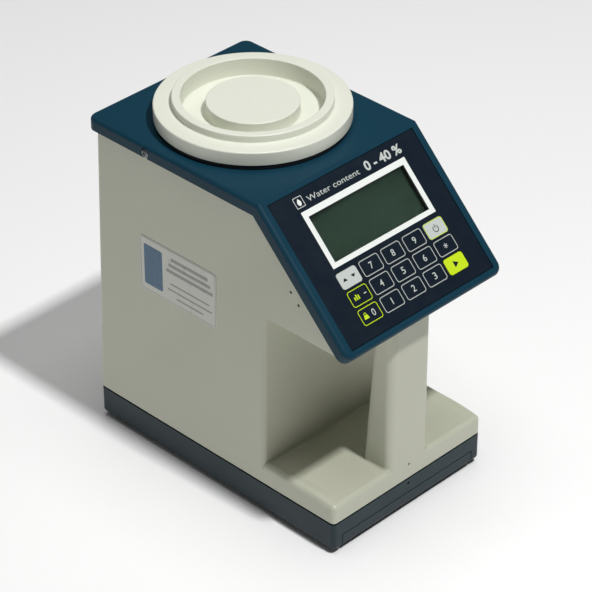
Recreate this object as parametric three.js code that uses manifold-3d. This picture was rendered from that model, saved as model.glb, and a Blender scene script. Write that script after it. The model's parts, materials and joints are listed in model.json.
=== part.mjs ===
// Bench-top grain moisture meter, in millimetres, +Z up. The user stands on the -Y side and faces
// the display, +X is to their right, and the origin is on the bench under the middle of the meter.
import * as THREE from "three";
import { mergeVertices } from "three/addons/utils/BufferGeometryUtils.js";
import Module from "manifold-3d";

const wasm = await Module();
wasm.setup();

// ---- Clearances and walls ----
const GAP = 0.3; // between neighbouring pieces
const WALL = 2.5; // moulded housings
const CUT = 1; // how far a cutting shape runs past a face

// ---- Housing ----
const COVER_WIDTH = 127.2;
const COVER_DEPTH = 206.3;
const COVER_TOP = 210.2; // flat top above the bench
const COVER_PLATE = 2.5;
const COVER_SKIRT = 8;
const COVER_CORNER = 6;
const SLOPE_ANGLE = Math.PI / 4;
const SLOPE_LENGTH = 98.3;
const SLOPE_PLATE = 3.6;
const SKIRT_WALL = 3.6;
const SIDE_OVERHANG = 2.4; // cover past the body's top at each side
const BACK_OVERHANG = 4.8;
const LIP_OVERHANG = 11.5; // cover past the body's front face
const BODY_CORNER = 3;
const SIDE_DRAFT = 1; // body's foot past its top at each side
const BACK_DRAFT = 4.2;
const FOOT_HEIGHT = 3;
const FOOT_RADIUS = 6;
const FOOT_SIDE_INSET = 19;
const BASE_FLOOR = 2.2;

// ---- Hand recess under the display ----
const RECESS_FLOOR = 12.3; // above the base's top
const RECESS_DEPTH = 55.4;
const RECESS_EDGE = 3;
const CEILING_RISE = 2.5; // ceiling above the cover's lower front edge
const PILLAR_WIDTH = 33;
const PILLAR_FOOT_DEPTH = 21.3;
const PILLAR_TOP_DEPTH = 13.4;
const PILLAR_EDGE = 3.5;

// ---- Keypad and display, measured down the slope from its top edge ----
const OVERLAY_MARGIN = 6.1; // cover's frame left at each side
const OVERLAY_TOP = 3.1;
const OVERLAY_LENGTH = 90.4;
const OVERLAY_SINK = 0.3;
const OVERLAY_SHEET = 0.6;
const ARTWORK_SHIFT = 0.9; // display and keys sit this far right of the middle
const WINDOW_WIDTH = 75.3;
const WINDOW_TOP = 19;
const WINDOW_LENGTH = 28.2;
const SHROUD_WALL = 1.4;
const SHROUD_DEPTH = 2.2;
const LCD_MARGIN = 3;
const LCD_THICKNESS = 3;
const KEY_COLUMNS = 5;
const KEY_ROWS = 3;
const KEY_PITCH_X = 17.45;
const KEY_PITCH_Y = 11.4;
const KEY_TOP_ROW = 58.4; // centre of the first row
const KEY_WIDTH = 15.2;
const KEY_LENGTH = 9.8;
const KEY_CORNER = 1.8;
const KEY_TRAVEL = 0.4;
const CIRCUIT_SHEET = 0.4;
const DOME_RADIUS = 3.5;
const DOME_HEIGHT = 0.2;
const BOARD_THICKNESS = 1.6;
const DISPLAY_BOARD_DROP = 8.5; // its face under the cover's face
const DISPLAY_BOARD_MARGIN = 9;
const DISPLAY_BOARD_AIR = 3; // to the body's front wall
const KEY_NAMES = [
  ["select", "7", "8", "9", "power"],
  ["average", "4", "5", "6", "star"],
  ["unit_0", "1", "2", "3", "measure"],
];

// ---- Measuring cell ----
const CELL_TO_BACK = 70; // cell axis to the cover's back edge
const CELL_RADIUS = 40;
const CELL_WALL = 3;
const CELL_RIM_DROP = 4.5; // cell rim under the cover's top
const CORE_RADIUS = 18;
const CORE_DROP = 23.7; // centre electrode's top under the cell's rim
const CELL_FLOOR = 4;
const COLLAR_RADIUS = 56;
const COLLAR_FLANGE = 2.3;
const COLLAR_NECK = 51.6;
const COLLAR_BORE = 46;
const COLLAR_LIP = 41;
const CARRIER_STEM = 12;
const CARRIER_HEIGHT = 49.1;
const LOAD_CELL_LENGTH = 65;
const LOAD_CELL_SIZE = 16;
const LOAD_CELL_BOTTOM = 52; // above the bench
const LOAD_CELL_HOLE = 4.6;
const CHASSIS_SHEET = 1.5;
const CHASSIS_MARGIN = 4;
const CHASSIS_BOTTOM = 40; // above the bench
const PROBE_RADIUS = 2;
const PROBE_HEIGHT = 9;

// ---- Lid ----
const LID_RADIUS = 56.5;
const LID_SHELL = 2.4;
const LID_RING_OUTER = 46;
const LID_RING_INNER = 41;
const LID_DISC_RADIUS = 26.8;
const LID_FLANGE_BOTTOM = 2.9; // these five are above the cover's top
const LID_FLANGE_TOP = 11.3;
const LID_RING_TOP = 15.8;
const LID_DISC_TOP = 12.3;
const LID_DISH_TOP = 4.3;

// ---- Battery bay ----
const BATTERY_RADIUS = 7.1;
const BATTERY_LENGTH = 50.2;
const BATTERY_NUB = 2.7;
const BATTERY_AIR = 1; // between two rows
const BAY_CEILING = 1.65;
const DOOR_PLATE = 2;
const DOOR_LIP = 2.2;
const DOOR_LIP_HEIGHT = 8;
const DOOR_WIDTH = 109.4;
const CONTACT_SHEET = 0.5;
const CONTACT_SPRING = 4.1;
const CONTACT_WIDTH = 12;

// ---- Screws, small holes, jack, label and boards ----
const BOSS_RADIUS = 4.5;
const SCREW_RADIUS = 1.4;
const SCREW_HOLE = 1.7;
const SCREW_HEAD = 2.8;
const HEAD_HEIGHT = 1.4;
const HEAD_POCKET = 3.3;
const FRONT_SCREW_SETBACK = 45; // from the body's front face
const BACK_SCREW_SETBACK = 12;
const COVER_SCREW_DROP = 5;
const COVER_SCREW_TO_BACK = 48.3;
const PIN_HOLE = 1;
const BUZZER_RADIUS = 5.5;
const BUZZER_DEPTH = 6;
const BUZZER_DOWN_SLOPE = 53.6;
const BUZZER_UNDER_SLOPE = 16.2;
const BUZZER_HOLE_PITCH = 8.4;
const JACK_RADIUS = 4;
const JACK_BORE = 1.8;
const JACK_LENGTH = 14;
const JACK_HEIGHT = 60; // above the bench
const JACK_TO_SIDE = 22;
const LABEL_WIDTH = 62.5;
const LABEL_HEIGHT = 36.5;
const LABEL_SHEET = 0.4;
const LABEL_AIR = 0.1; // film of glue under it
const LABEL_Y = 32.55;
const LABEL_Z = 129.3;
const MAIN_BOARD_BOTTOM = 26; // above the bench
const MAIN_BOARD_MARGIN = 9;
const RIBBON_WIDTH = 14;
const RIBBON_SHEET = 0.8;

// ---- Derived places ----
const coverHalf = COVER_WIDTH / 2;
const coverFront = -COVER_DEPTH / 2;
const coverBack = COVER_DEPTH / 2;
const skirtBottom = COVER_TOP - COVER_SKIRT;
const creaseY = coverFront + SLOPE_LENGTH * Math.cos(SLOPE_ANGLE);
const bodyHalf = coverHalf - SIDE_OVERHANG;
const bodyInner = bodyHalf - WALL;
const bodyFront = coverFront + LIP_OVERHANG;
const bodyBack = coverBack - BACK_OVERHANG;
const footHalf = bodyHalf + SIDE_DRAFT;
const footInner = footHalf - WALL;
const footBack = bodyBack + BACK_DRAFT;
const doorHalf = DOOR_WIDTH / 2;
const doorTop = FOOT_HEIGHT + DOOR_PLATE;
const batteryPitch = 2 * BATTERY_RADIUS + BATTERY_AIR;
const batteryZ = doorTop + GAP + BATTERY_RADIUS + GAP / 3;
const bayHalf = doorHalf - GAP;
const bayFront = bodyFront + DOOR_LIP + GAP;
const bayBack = bayFront + 2 * batteryPitch + 2 * GAP;
const bayTop = batteryZ + BATTERY_RADIUS + GAP;
const baseTop = bayTop + BAY_CEILING;
const bodyBottom = baseTop + GAP;
const bodyTop = skirtBottom - GAP;
const recessFloor = baseTop + GAP / 2 + RECESS_FLOOR;
const recessBack = bodyFront + RECESS_DEPTH;
const recessCeiling = onSlope(SLOPE_LENGTH, COVER_SKIRT)[1] + CEILING_RISE;
const overlayHalf = coverHalf - OVERLAY_MARGIN;
const overlayBottomFace = OVERLAY_SINK + OVERLAY_SHEET;
const circuitTopFace = overlayBottomFace + KEY_TRAVEL + DOME_HEIGHT + GAP / 3;
const pocketDepth = circuitTopFace + CIRCUIT_SHEET + GAP;
const keysTop = KEY_TOP_ROW - KEY_LENGTH / 2;
const keysBottom = KEY_TOP_ROW + (KEY_ROWS - 1) * KEY_PITCH_Y + KEY_LENGTH / 2;
const shroudTopFace = overlayBottomFace + GAP;
const lcdTopFace = Math.max(shroudTopFace + SHROUD_DEPTH, SLOPE_PLATE) + GAP;
const cellY = coverBack - CELL_TO_BACK;
const cellRim = COVER_TOP - CELL_RIM_DROP;
const cellOuter = CELL_RADIUS + CELL_WALL;
const loadCellTop = LOAD_CELL_BOTTOM + LOAD_CELL_SIZE;
const cellFloorTop = loadCellTop + CARRIER_HEIGHT + CELL_FLOOR + 2 * GAP;
const coreTop = cellRim - CORE_DROP;
const loadCellFront = cellY - LOAD_CELL_SIZE / 2;
const bossX = footInner - BOSS_RADIUS + 0.5;
const screwRows = [bodyFront + FRONT_SCREW_SETBACK, bodyBack - BACK_SCREW_SETBACK];
const coverScrewY = coverBack - COVER_SCREW_TO_BACK;
const coverScrewZ = COVER_TOP - COVER_SCREW_DROP;

// ---- Materials ----
function plastic(color, roughness) {
  return new THREE.MeshStandardMaterial({ color, roughness, metalness: 0 });
}

function metal(color, roughness) {
  return new THREE.MeshStandardMaterial({ color, roughness, metalness: 1 });
}

const cream = plastic(0xc9c9bb, 0.42);
const lidCream = plastic(0xdcdcd0, 0.4);
const navy = plastic(0x234a5e, 0.4);
const slate = plastic(0x26333f, 0.5);
const overlayNavy = plastic(0x141d2c, 0.45);
const keyWhite = plastic(0xe6e8e4, 0.45);
const keyGreen = plastic(0xbede1e, 0.45);
const black = plastic(0x0c0d0f, 0.6);
const rubber = plastic(0x16171a, 0.85);
const clear = plastic(0xe8f0f0, 0.08);
const lcdGlass = plastic(0x34483c, 0.2);
const boardGreen = plastic(0x1d5a34, 0.5);
const labelFilm = plastic(0xd8dad2, 0.35);
const batterySleeve = plastic(0x3b4046, 0.35);
const steel = metal(0xb8bcc0, 0.3);
const aluminium = metal(0xc8ccd0, 0.35);
const springSteel = metal(0xd0cfc8, 0.25);

// ---- Places on the slope ----
// A point s down the slope from its top edge and d under its face, as [y, z].
function onSlope(s, d) {
  const [cos, sin] = [Math.cos(SLOPE_ANGLE), Math.sin(SLOPE_ANGLE)];
  return [creaseY - s * cos + d * sin, COVER_TOP - s * sin - d * cos];
}

// The point at height z on the plane d under the slope's face, as [y, z].
function slopeAtHeight(z, d) {
  const s = (COVER_TOP - d * Math.cos(SLOPE_ANGLE) - z) / Math.sin(SLOPE_ANGLE);
  return onSlope(s, d);
}

// ---- Shape helpers ----
function box(x0, x1, y0, y1, z0, z1) {
  const shape = new THREE.BoxGeometry(x1 - x0, y1 - y0, z1 - z0);
  return shape.translate((x0 + x1) / 2, (y0 + y1) / 2, (z0 + z1) / 2);
}

// A rectangle whose corners are rounded by radius, or by [front, back] radii.
function roundedRect(x0, x1, y0, y1, radius) {
  const [front, back] = Array.isArray(radius) ? radius : [radius, radius];
  const shape = new THREE.Shape();
  shape.moveTo(x0 + front, y0);
  shape.lineTo(x1 - front, y0);
  if (front) shape.absarc(x1 - front, y0 + front, front, -Math.PI / 2, 0);
  shape.lineTo(x1, y1 - back);
  if (back) shape.absarc(x1 - back, y1 - back, back, 0, Math.PI / 2);
  shape.lineTo(x0 + back, y1);
  if (back) shape.absarc(x0 + back, y1 - back, back, Math.PI / 2, Math.PI);
  shape.lineTo(x0, y0 + front);
  if (front) shape.absarc(x0 + front, y0 + front, front, Math.PI, 1.5 * Math.PI);
  return shape;
}

// A flat outline raised from z0 to z1.
function prism(shape, z0, z1, curveSegments = 5) {
  const options = { depth: z1 - z0, bevelEnabled: false, curveSegments };
  return new THREE.ExtrudeGeometry(shape, options).translate(0, 0, z0);
}

// A side outline of [y, z] points run along X from -half to half, its side edges rounded by edge.
function sidePrism(points, half, edge = 0) {
  const shape = new THREE.Shape(points.map(([y, z]) => new THREE.Vector2(y, z)));
  const options = {
    depth: 2 * (half - edge),
    bevelEnabled: edge > 0,
    bevelSize: edge,
    bevelOffset: -edge,
    bevelThickness: edge,
    bevelSegments: 4,
  };
  const turn = new THREE.Matrix4().set(0, 0, 1, 0, 1, 0, 0, 0, 0, 1, 0, 0, 0, 0, 0, 1);
  const run = new THREE.ExtrudeGeometry(shape, options).translate(0, 0, edge - half);
  return run.applyMatrix4(turn);
}

// A solid of revolution about Z from [radius, z] points, given anticlockwise round the section.
function turned(profile, segments = 32) {
  const points = profile.map(([r, z]) => new THREE.Vector2(r, z));
  if (profile[0][0] > 0) points.push(points[0].clone());
  return new THREE.LatheGeometry(points, segments).rotateX(Math.PI / 2);
}

function cylinder(radius, z0, z1, segments = 16) {
  return turned([[0, z0], [radius, z0], [radius, z1], [0, z1]], segments);
}

// Lays a shape built along +Z onto the X axis, pointing to sign.
function alongX(shape, sign) {
  return shape.rotateY((sign * Math.PI) / 2);
}

function solid(shape) {
  if (!shape.isBufferGeometry) return shape;
  const bare = shape.index ? shape.toNonIndexed() : shape.clone();
  bare.deleteAttribute("normal");
  bare.deleteAttribute("uv");
  const merged = mergeVertices(bare, 1e-4);
  return new wasm.Manifold(
    new wasm.Mesh({
      numProp: 3,
      vertProperties: merged.attributes.position.array,
      triVerts: new Uint32Array(merged.index.array),
    }),
  );
}

function join(...shapes) {
  return shapes.map(solid).reduce((whole, next) => whole.add(next));
}

function cut(shape, ...tools) {
  return tools.map(solid).reduce((left, tool) => left.subtract(tool), solid(shape));
}

function common(shape, ...others) {
  return others.map(solid).reduce((left, other) => left.intersect(other), solid(shape));
}

function toGeometry(made) {
  if (made.isBufferGeometry) return made;
  const { vertProperties, triVerts } = made.getMesh();
  const geometry = new THREE.BufferGeometry();
  geometry.setAttribute("position", new THREE.BufferAttribute(vertProperties, 3));
  geometry.setIndex(new THREE.BufferAttribute(triVerts, 1));
  geometry.computeVertexNormals();
  return geometry;
}

function addPiece(parent, name, made, material, place = [0, 0, 0]) {
  const mesh = new THREE.Mesh(toGeometry(made), material);
  mesh.name = name;
  mesh.position.set(...place);
  parent.add(mesh);
  return mesh;
}

// ---- Groups ----
const meter = new THREE.Group();
// The slope's own frame: x across, y up the slope from its top edge, z out of its face.
const slope = new THREE.Group();
slope.position.set(0, creaseY, COVER_TOP);
slope.rotation.x = SLOPE_ANGLE;
meter.add(slope);
const cell = new THREE.Group();
cell.position.set(0, cellY, 0);
meter.add(cell);

function slopeShape(shape) {
  return shape.rotateX(SLOPE_ANGLE).translate(0, creaseY, COVER_TOP);
}

// ---- Base ----
function atScrews(make) {
  return screwRows.flatMap((y) => [-bossX, bossX].map((x) => make().translate(x, y, 0)));
}

function baseTray() {
  const outline = roundedRect(-footHalf, footHalf, bodyFront, footBack, BODY_CORNER);
  const floorTop = FOOT_HEIGHT + BASE_FLOOR;
  const below = FOOT_HEIGHT - CUT;
  const well = box(-footInner, footInner, bayBack + WALL, footBack - WALL, floorTop, baseTop + CUT);
  const bay = box(-bayHalf, bayHalf, bayFront, bayBack, below, bayTop);
  const seat = doorHalf + GAP;
  const plateSeat = box(-seat, seat, bodyFront - CUT, bayBack + GAP, below, doorTop + GAP);
  const lipTop = FOOT_HEIGHT + DOOR_LIP_HEIGHT + GAP;
  const lipSeat = box(-seat, seat, bodyFront - CUT, bayFront, below, lipTop);
  const hollow = cut(prism(outline, FOOT_HEIGHT, baseTop), well, bay, plateSeat, lipSeat);
  const bosses = atScrews(() => cylinder(BOSS_RADIUS, floorTop - CUT, baseTop));
  const boardPosts = boardCorners().map(([x, y]) =>
    cylinder(WALL, floorTop - CUT, MAIN_BOARD_BOTTOM - GAP, 12).translate(x, y, 0),
  );
  const heads = atScrews(() => cylinder(HEAD_POCKET, below, FOOT_HEIGHT + 2 * WALL));
  const shanks = atScrews(() => cylinder(SCREW_HOLE, below, baseTop + CUT, 12));
  const pinHole = cylinder(PIN_HOLE, 0, WALL * 0.7 + CUT, 8).rotateX(-Math.PI / 2);
  const pinZ = (lipTop + baseTop) / 2 + 1.5;
  pinHole.translate(0, bodyFront - CUT, pinZ);
  return cut(join(hollow, ...bosses, ...boardPosts), ...heads, ...shanks, pinHole);
}

function boardCorners() {
  const x = bodyInner - MAIN_BOARD_MARGIN - 4;
  const front = recessBack + MAIN_BOARD_MARGIN + 4;
  const back = screwRows[1] - BOSS_RADIUS - 4;
  return [[-x, front], [x, front], [-x, back], [x, back]];
}

function batteryDoor() {
  const back = bayBack;
  const plate = box(-doorHalf, doorHalf, bodyFront, back, FOOT_HEIGHT, doorTop);
  const lipTop = FOOT_HEIGHT + DOOR_LIP_HEIGHT;
  const lip = box(-doorHalf, doorHalf, bodyFront, bodyFront + DOOR_LIP, FOOT_HEIGHT, lipTop);
  return join(plate, lip);
}

function foot() {
  const top = FOOT_HEIGHT - GAP;
  return turned([[0, 0], [FOOT_RADIUS - 0.8, 0], [FOOT_RADIUS, 0.8], [FOOT_RADIUS, top], [0, top]], 20);
}

function battery() {
  const body = BATTERY_LENGTH - 1;
  const profile = [
    [0, 0],
    [BATTERY_RADIUS, 0],
    [BATTERY_RADIUS, body],
    [BATTERY_NUB, body],
    [BATTERY_NUB, BATTERY_LENGTH],
    [0, BATTERY_LENGTH],
  ];
  return turned(profile, 16).translate(0, 0, -BATTERY_LENGTH / 2);
}

// A contact plate standing across the bay's end, with a tapered spring where spring is true.
function contact(rows, side) {
  const outer = bayHalf - GAP;
  const low = batteryZ - CONTACT_WIDTH / 2;
  const high = batteryZ + CONTACT_WIDTH / 2;
  const ends = rows.map((row) => row.y);
  const y0 = Math.min(...ends) - CONTACT_WIDTH / 2;
  const y1 = Math.max(...ends) + CONTACT_WIDTH / 2;
  const plate = box(outer - CONTACT_SHEET, outer, y0, y1, low, high);
  const bumps = rows.map(({ y, spring }) => {
    const reach = spring ? CONTACT_SPRING : CONTACT_SPRING / 2;
    const profile = [[0, -0.2], [4, -0.2], [2, reach], [0, reach]];
    return alongX(turned(profile, 10), -1).translate(outer - CONTACT_SHEET, y, batteryZ);
  });
  const made = toGeometry(join(plate, ...bumps));
  return side > 0 ? made : made.rotateZ(Math.PI).translate(0, y0 + y1, 0);
}

function baseScrew() {
  const head = FOOT_HEIGHT + 2 * WALL - GAP;
  const tip = recessFloor - WALL - GAP;
  const profile = [
    [0, head - HEAD_HEIGHT],
    [SCREW_HEAD, head - HEAD_HEIGHT],
    [SCREW_HEAD, head],
    [SCREW_RADIUS, head],
    [SCREW_RADIUS, tip],
    [0, tip],
  ];
  return turned(profile, 12);
}

// ---- Body shell ----
// How much of the body's draft there is at height z: none at its top, all at its foot.
function draftShare(z) {
  return (bodyTop - z) / (bodyTop - bodyBottom);
}

// Leans a straight-walled shape's sides and back outwards towards the body's foot.
function drafted(shape) {
  const points = shape.getAttribute("position");
  for (let i = 0; i < points.count; i++) {
    const share = draftShare(points.getZ(i));
    points.setX(i, points.getX(i) * (1 + (SIDE_DRAFT / bodyHalf) * share));
    if (points.getY(i) > 0) points.setY(i, points.getY(i) + BACK_DRAFT * share);
  }
  return shape;
}

function pillarOutline(inset, below, above) {
  const lean = (PILLAR_FOOT_DEPTH - PILLAR_TOP_DEPTH) / (recessCeiling - recessFloor);
  const back = (z) => bodyFront + PILLAR_FOOT_DEPTH - lean * (z - recessFloor) - inset;
  const [low, high] = [recessFloor - below, recessCeiling + above];
  const front = bodyFront + inset;
  return [[front, low], [back(low), low], [back(high), high], [front, high]];
}

// Takes the sharp vertical edge off the recess's back wall at one side.
function recessEdgeCutter(side) {
  const shape = new THREE.Shape();
  const [edge, out] = [RECESS_EDGE, bodyHalf + CUT];
  shape.moveTo(bodyHalf - edge, recessBack - CUT);
  shape.lineTo(out, recessBack - CUT);
  shape.lineTo(out, recessBack + edge);
  shape.lineTo(bodyHalf, recessBack + edge);
  shape.absarc(bodyHalf - edge, recessBack + edge, edge, 0, -Math.PI / 2, true);
  const piece = prism(shape, recessFloor, recessCeiling, 4);
  return side > 0 ? piece : solid(piece).mirror([1, 0, 0]);
}

function bodyShell() {
  const depth = COVER_SKIRT + GAP;
  const outer = sidePrism(
    [
      [bodyFront, bodyBottom],
      [bodyBack, bodyBottom],
      [bodyBack, bodyTop],
      slopeAtHeight(bodyTop, depth),
      slopeAtHeight(recessCeiling, depth),
      [recessBack, recessCeiling],
      [recessBack, recessFloor],
      [bodyFront, recessFloor],
    ],
    bodyHalf,
  );
  const plan = roundedRect(-bodyHalf, bodyHalf, bodyFront, bodyBack, BODY_CORNER);
  const tipFront = coverFront;
  const overhang = box(-bodyHalf, bodyHalf, tipFront, recessBack, recessCeiling - CUT, COVER_TOP);
  const skin = common(outer, join(prism(plan, bodyBottom, COVER_TOP), overhang));
  const [wellFront, wellTop] = slopeAtHeight(recessCeiling + WALL, depth + WALL);
  const inner = sidePrism(
    [
      [bodyFront + WALL, bodyBottom - CUT],
      [bodyBack - WALL, bodyBottom - CUT],
      [bodyBack - WALL, COVER_TOP],
      [creaseY, COVER_TOP],
      [wellFront, wellTop + COVER_SKIRT],
      [wellFront, wellTop],
      [recessBack + WALL, wellTop],
      [recessBack + WALL, recessFloor - WALL],
      [bodyFront + WALL, recessFloor - WALL],
    ],
    bodyInner,
  );
  const pillar = sidePrism(pillarOutline(0, WALL, WALL), PILLAR_WIDTH / 2, PILLAR_EDGE);
  const duct = sidePrism(pillarOutline(WALL, 2 * WALL, 2 * WALL), PILLAR_WIDTH / 2 - WALL);
  const floorBoss = recessFloor - WALL + CUT;
  const bosses = screwRows.flatMap((y, row) => {
    const top = row === 0 ? floorBoss : recessFloor;
    return [-bossX, bossX].map((x) => cylinder(BOSS_RADIUS, bodyBottom, top).translate(x, y, 0));
  });
  const tip = recessFloor - WALL;
  const shanks = atScrews(() => cylinder(SCREW_HOLE, bodyBottom - CUT, tip, 12));
  const tabs = [-1, 1].map((side) => screwTab(side));
  const edges = [-1, 1].map((side) => recessEdgeCutter(side));
  const walls = drafted(toGeometry(cut(skin, inner, ...edges)));
  return cut(join(walls, pillar, ...bosses, ...tabs), duct, ...shanks, ...bodyHoles());
}

// A tongue on the body's side wall that reaches up inside the cover for the cover screw.
function screwTab(side) {
  const outer = coverHalf - SKIRT_WALL - GAP;
  const inner = bodyInner - WALL;
  const [y0, y1] = [coverScrewY - BOSS_RADIUS, coverScrewY + BOSS_RADIUS];
  const top = COVER_TOP - COVER_PLATE - GAP;
  const [x0, x1] = side > 0 ? [inner, outer] : [-outer, -inner];
  return box(x0, x1, y0, y1, skirtBottom - 3 * BOSS_RADIUS, top);
}

function bodyHoles() {
  const shafts = [-1, 1].map((side) =>
    alongX(cylinder(SCREW_HOLE, 0, coverHalf, 12), side).translate(0, coverScrewY, coverScrewZ),
  );
  const buzzerHoles = [-1, 1].map((step) => {
    const [y, z] = buzzerPlace((step * BUZZER_HOLE_PITCH) / 2);
    return alongX(cylinder(PIN_HOLE, bodyInner - CUT, footHalf + CUT, 8), -1).translate(0, y, z);
  });
  const gateHole = cylinder(PIN_HOLE, 0, WALL * 0.7 + CUT, 8).rotateX(-Math.PI / 2);
  gateHole.translate(0, bodyFront - CUT, recessFloor - WALL);
  const jackHole = cylinder(JACK_RADIUS + GAP, -WALL - CUT, CUT);
  jackHole.rotateX(-Math.PI / 2).translate(...jackPlace());
  return [...shafts, ...buzzerHoles, gateHole, jackHole];
}

// The buzzer's place behind the left wall as [y, z], moved by step along the slope.
function buzzerPlace(step) {
  return onSlope(BUZZER_DOWN_SLOPE + step, BUZZER_UNDER_SLOPE);
}

function buzzer() {
  const [y, z] = buzzerPlace(0);
  const face = bodyInner - GAP;
  return alongX(cylinder(BUZZER_RADIUS, face - BUZZER_DEPTH, face, 20), -1).translate(0, y, z);
}

// ---- Top cover ----
function topCover() {
  const slab = sidePrism(
    [
      [coverBack, skirtBottom],
      [coverBack, COVER_TOP],
      [creaseY, COVER_TOP],
      onSlope(SLOPE_LENGTH, 0),
      onSlope(SLOPE_LENGTH, COVER_SKIRT),
      slopeAtHeight(skirtBottom, COVER_SKIRT),
    ].reverse(),
    coverHalf,
  );
  const flatPlan = roundedRect(-coverHalf, coverHalf, creaseY - 12, coverBack, [0, COVER_CORNER]);
  const flat = prism(flatPlan, skirtBottom - 20, COVER_TOP + CUT);
  const slopePlan = roundedRect(-coverHalf, coverHalf, -SLOPE_LENGTH, 0, [COVER_CORNER, 0]);
  const sloped = slopeShape(prism(slopePlan, -COVER_SKIRT - CUT, CUT));
  const skin = common(slab, join(flat, sloped));
  const plateUnder = COVER_TOP - COVER_PLATE;
  const hollow = sidePrism(
    [
      [coverBack - SKIRT_WALL, skirtBottom - CUT],
      [coverBack - SKIRT_WALL, plateUnder],
      slopeAtHeight(plateUnder, SLOPE_PLATE),
      onSlope(SLOPE_LENGTH - WALL, SLOPE_PLATE),
      onSlope(SLOPE_LENGTH - WALL, COVER_SKIRT + CUT),
      slopeAtHeight(skirtBottom - CUT, COVER_SKIRT + CUT),
    ].reverse(),
    coverHalf - SKIRT_WALL,
  );
  const shell = join(cut(skin, hollow), ...boardPosts());
  const cellHole = cylinder(COLLAR_NECK + GAP, skirtBottom - CUT, COVER_TOP + CUT, 48);
  cellHole.translate(0, cellY, 0);
  const screwHoles = [-1, 1].flatMap((side) => coverScrewHoles(side));
  return cut(shell, cellHole, ...overlayPocket(), ...screwHoles);
}

function boardPosts() {
  const x = overlayHalf - DISPLAY_BOARD_MARGIN;
  const ends = [OVERLAY_TOP + DISPLAY_BOARD_MARGIN, SLOPE_LENGTH - 2 * DISPLAY_BOARD_MARGIN];
  const foot = GAP - DISPLAY_BOARD_DROP;
  return ends.flatMap((s) =>
    [-x, x].map((px) => slopeShape(cylinder(WALL, foot, CUT / 2 - SLOPE_PLATE, 12).translate(px, -s, 0))),
  );
}

function overlayPocket() {
  const half = overlayHalf + GAP;
  const [top, bottom] = [OVERLAY_TOP - GAP, OVERLAY_TOP + OVERLAY_LENGTH + GAP];
  const pocket = box(-half, half, -bottom, -top, -pocketDepth, CUT);
  const reach = SHROUD_WALL + GAP;
  const opening = windowRect(reach, -SLOPE_PLATE - CUT, CUT);
  const tailSlot = box(-RIBBON_WIDTH / 2, RIBBON_WIDTH / 2, -keysTop, -keysTop + 2, -SLOPE_PLATE - CUT, 0);
  return [pocket, opening, tailSlot].map((shape) => slopeShape(shape));
}

// A block over the display window, grown by reach on each side, from z0 to z1 off the slope's face.
function windowRect(reach, z0, z1) {
  const [x0, x1] = [ARTWORK_SHIFT - WINDOW_WIDTH / 2, ARTWORK_SHIFT + WINDOW_WIDTH / 2];
  const [y0, y1] = [-WINDOW_TOP - WINDOW_LENGTH, -WINDOW_TOP];
  return box(x0 - reach, x1 + reach, y0 - reach, y1 + reach, z0, z1);
}

function coverScrewHoles(side) {
  const shaft = cylinder(SCREW_HOLE, coverHalf - SKIRT_WALL - CUT, coverHalf + CUT, 12);
  const pocket = cylinder(HEAD_POCKET, coverHalf - 0.9, coverHalf + CUT);
  return [shaft, pocket].map((s) => alongX(s, side).translate(0, coverScrewY, coverScrewZ));
}

function coverScrew(side) {
  const seat = coverHalf - 0.9 + GAP;
  const profile = [
    [0, coverHalf - 4 * WALL + CUT],
    [SCREW_RADIUS, coverHalf - 4 * WALL + CUT],
    [SCREW_RADIUS, seat],
    [SCREW_HEAD, seat],
    [SCREW_HEAD * 0.92, seat + HEAD_HEIGHT * 0.45],
    [SCREW_HEAD * 0.6, seat + HEAD_HEIGHT * 0.85],
    [0, seat + HEAD_HEIGHT],
  ];
  return alongX(turned(profile, 16), side).translate(0, coverScrewY, coverScrewZ);
}

// ---- Keypad and display, in the slope's own frame ----
function keyPlaces() {
  return KEY_NAMES.flatMap((row, r) =>
    row.map((name, c) => ({
      name,
      x: ARTWORK_SHIFT + (c - (KEY_COLUMNS - 1) / 2) * KEY_PITCH_X,
      y: -KEY_TOP_ROW - r * KEY_PITCH_Y,
    })),
  );
}

function keyOutline(grow) {
  const [w, l] = [KEY_WIDTH / 2 + grow, KEY_LENGTH / 2 + grow];
  return roundedRect(-w, w, -l, l, KEY_CORNER + grow);
}

function keypadOverlay() {
  const bottom = OVERLAY_TOP + OVERLAY_LENGTH;
  const sheetPlan = roundedRect(-overlayHalf, overlayHalf, -bottom, -OVERLAY_TOP, 1);
  const sheet = prism(sheetPlan, -overlayBottomFace, -OVERLAY_SINK, 2);
  const windows = keyPlaces().map(({ x, y }) =>
    prism(keyOutline(GAP), -overlayBottomFace - CUT, CUT, 2).translate(x, y, 0),
  );
  return cut(sheet, windowRect(GAP, -overlayBottomFace - CUT, CUT), ...windows);
}

function keypadCircuit() {
  const [x, margin] = [overlayHalf - 2, 3];
  const top = -circuitTopFace;
  const sheet = box(-x, x, -keysBottom - 2, -keysTop + margin, top - CIRCUIT_SHEET, top);
  const domes = keyPlaces().map(({ x: cx, y }) => {
    const profile = [
      [0, top - 0.1],
      [DOME_RADIUS, top - 0.1],
      [DOME_RADIUS * 0.6, top + DOME_HEIGHT],
      [0, top + DOME_HEIGHT],
    ];
    return turned(profile, 8).translate(cx, y, 0);
  });
  return join(sheet, ...domes);
}

function displayShroud() {
  const [z0, z1] = [-shroudTopFace - SHROUD_DEPTH, -shroudTopFace];
  return cut(windowRect(SHROUD_WALL, z0, z1), windowRect(0, z0 - CUT, z1 + CUT));
}

function displayBoard() {
  const x = overlayHalf - 2;
  const bottom = SLOPE_LENGTH - 4 * WALL - DISPLAY_BOARD_AIR;
  const z = -DISPLAY_BOARD_DROP;
  return box(-x, x, -bottom, -OVERLAY_TOP - 3, z - BOARD_THICKNESS, z);
}

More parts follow.
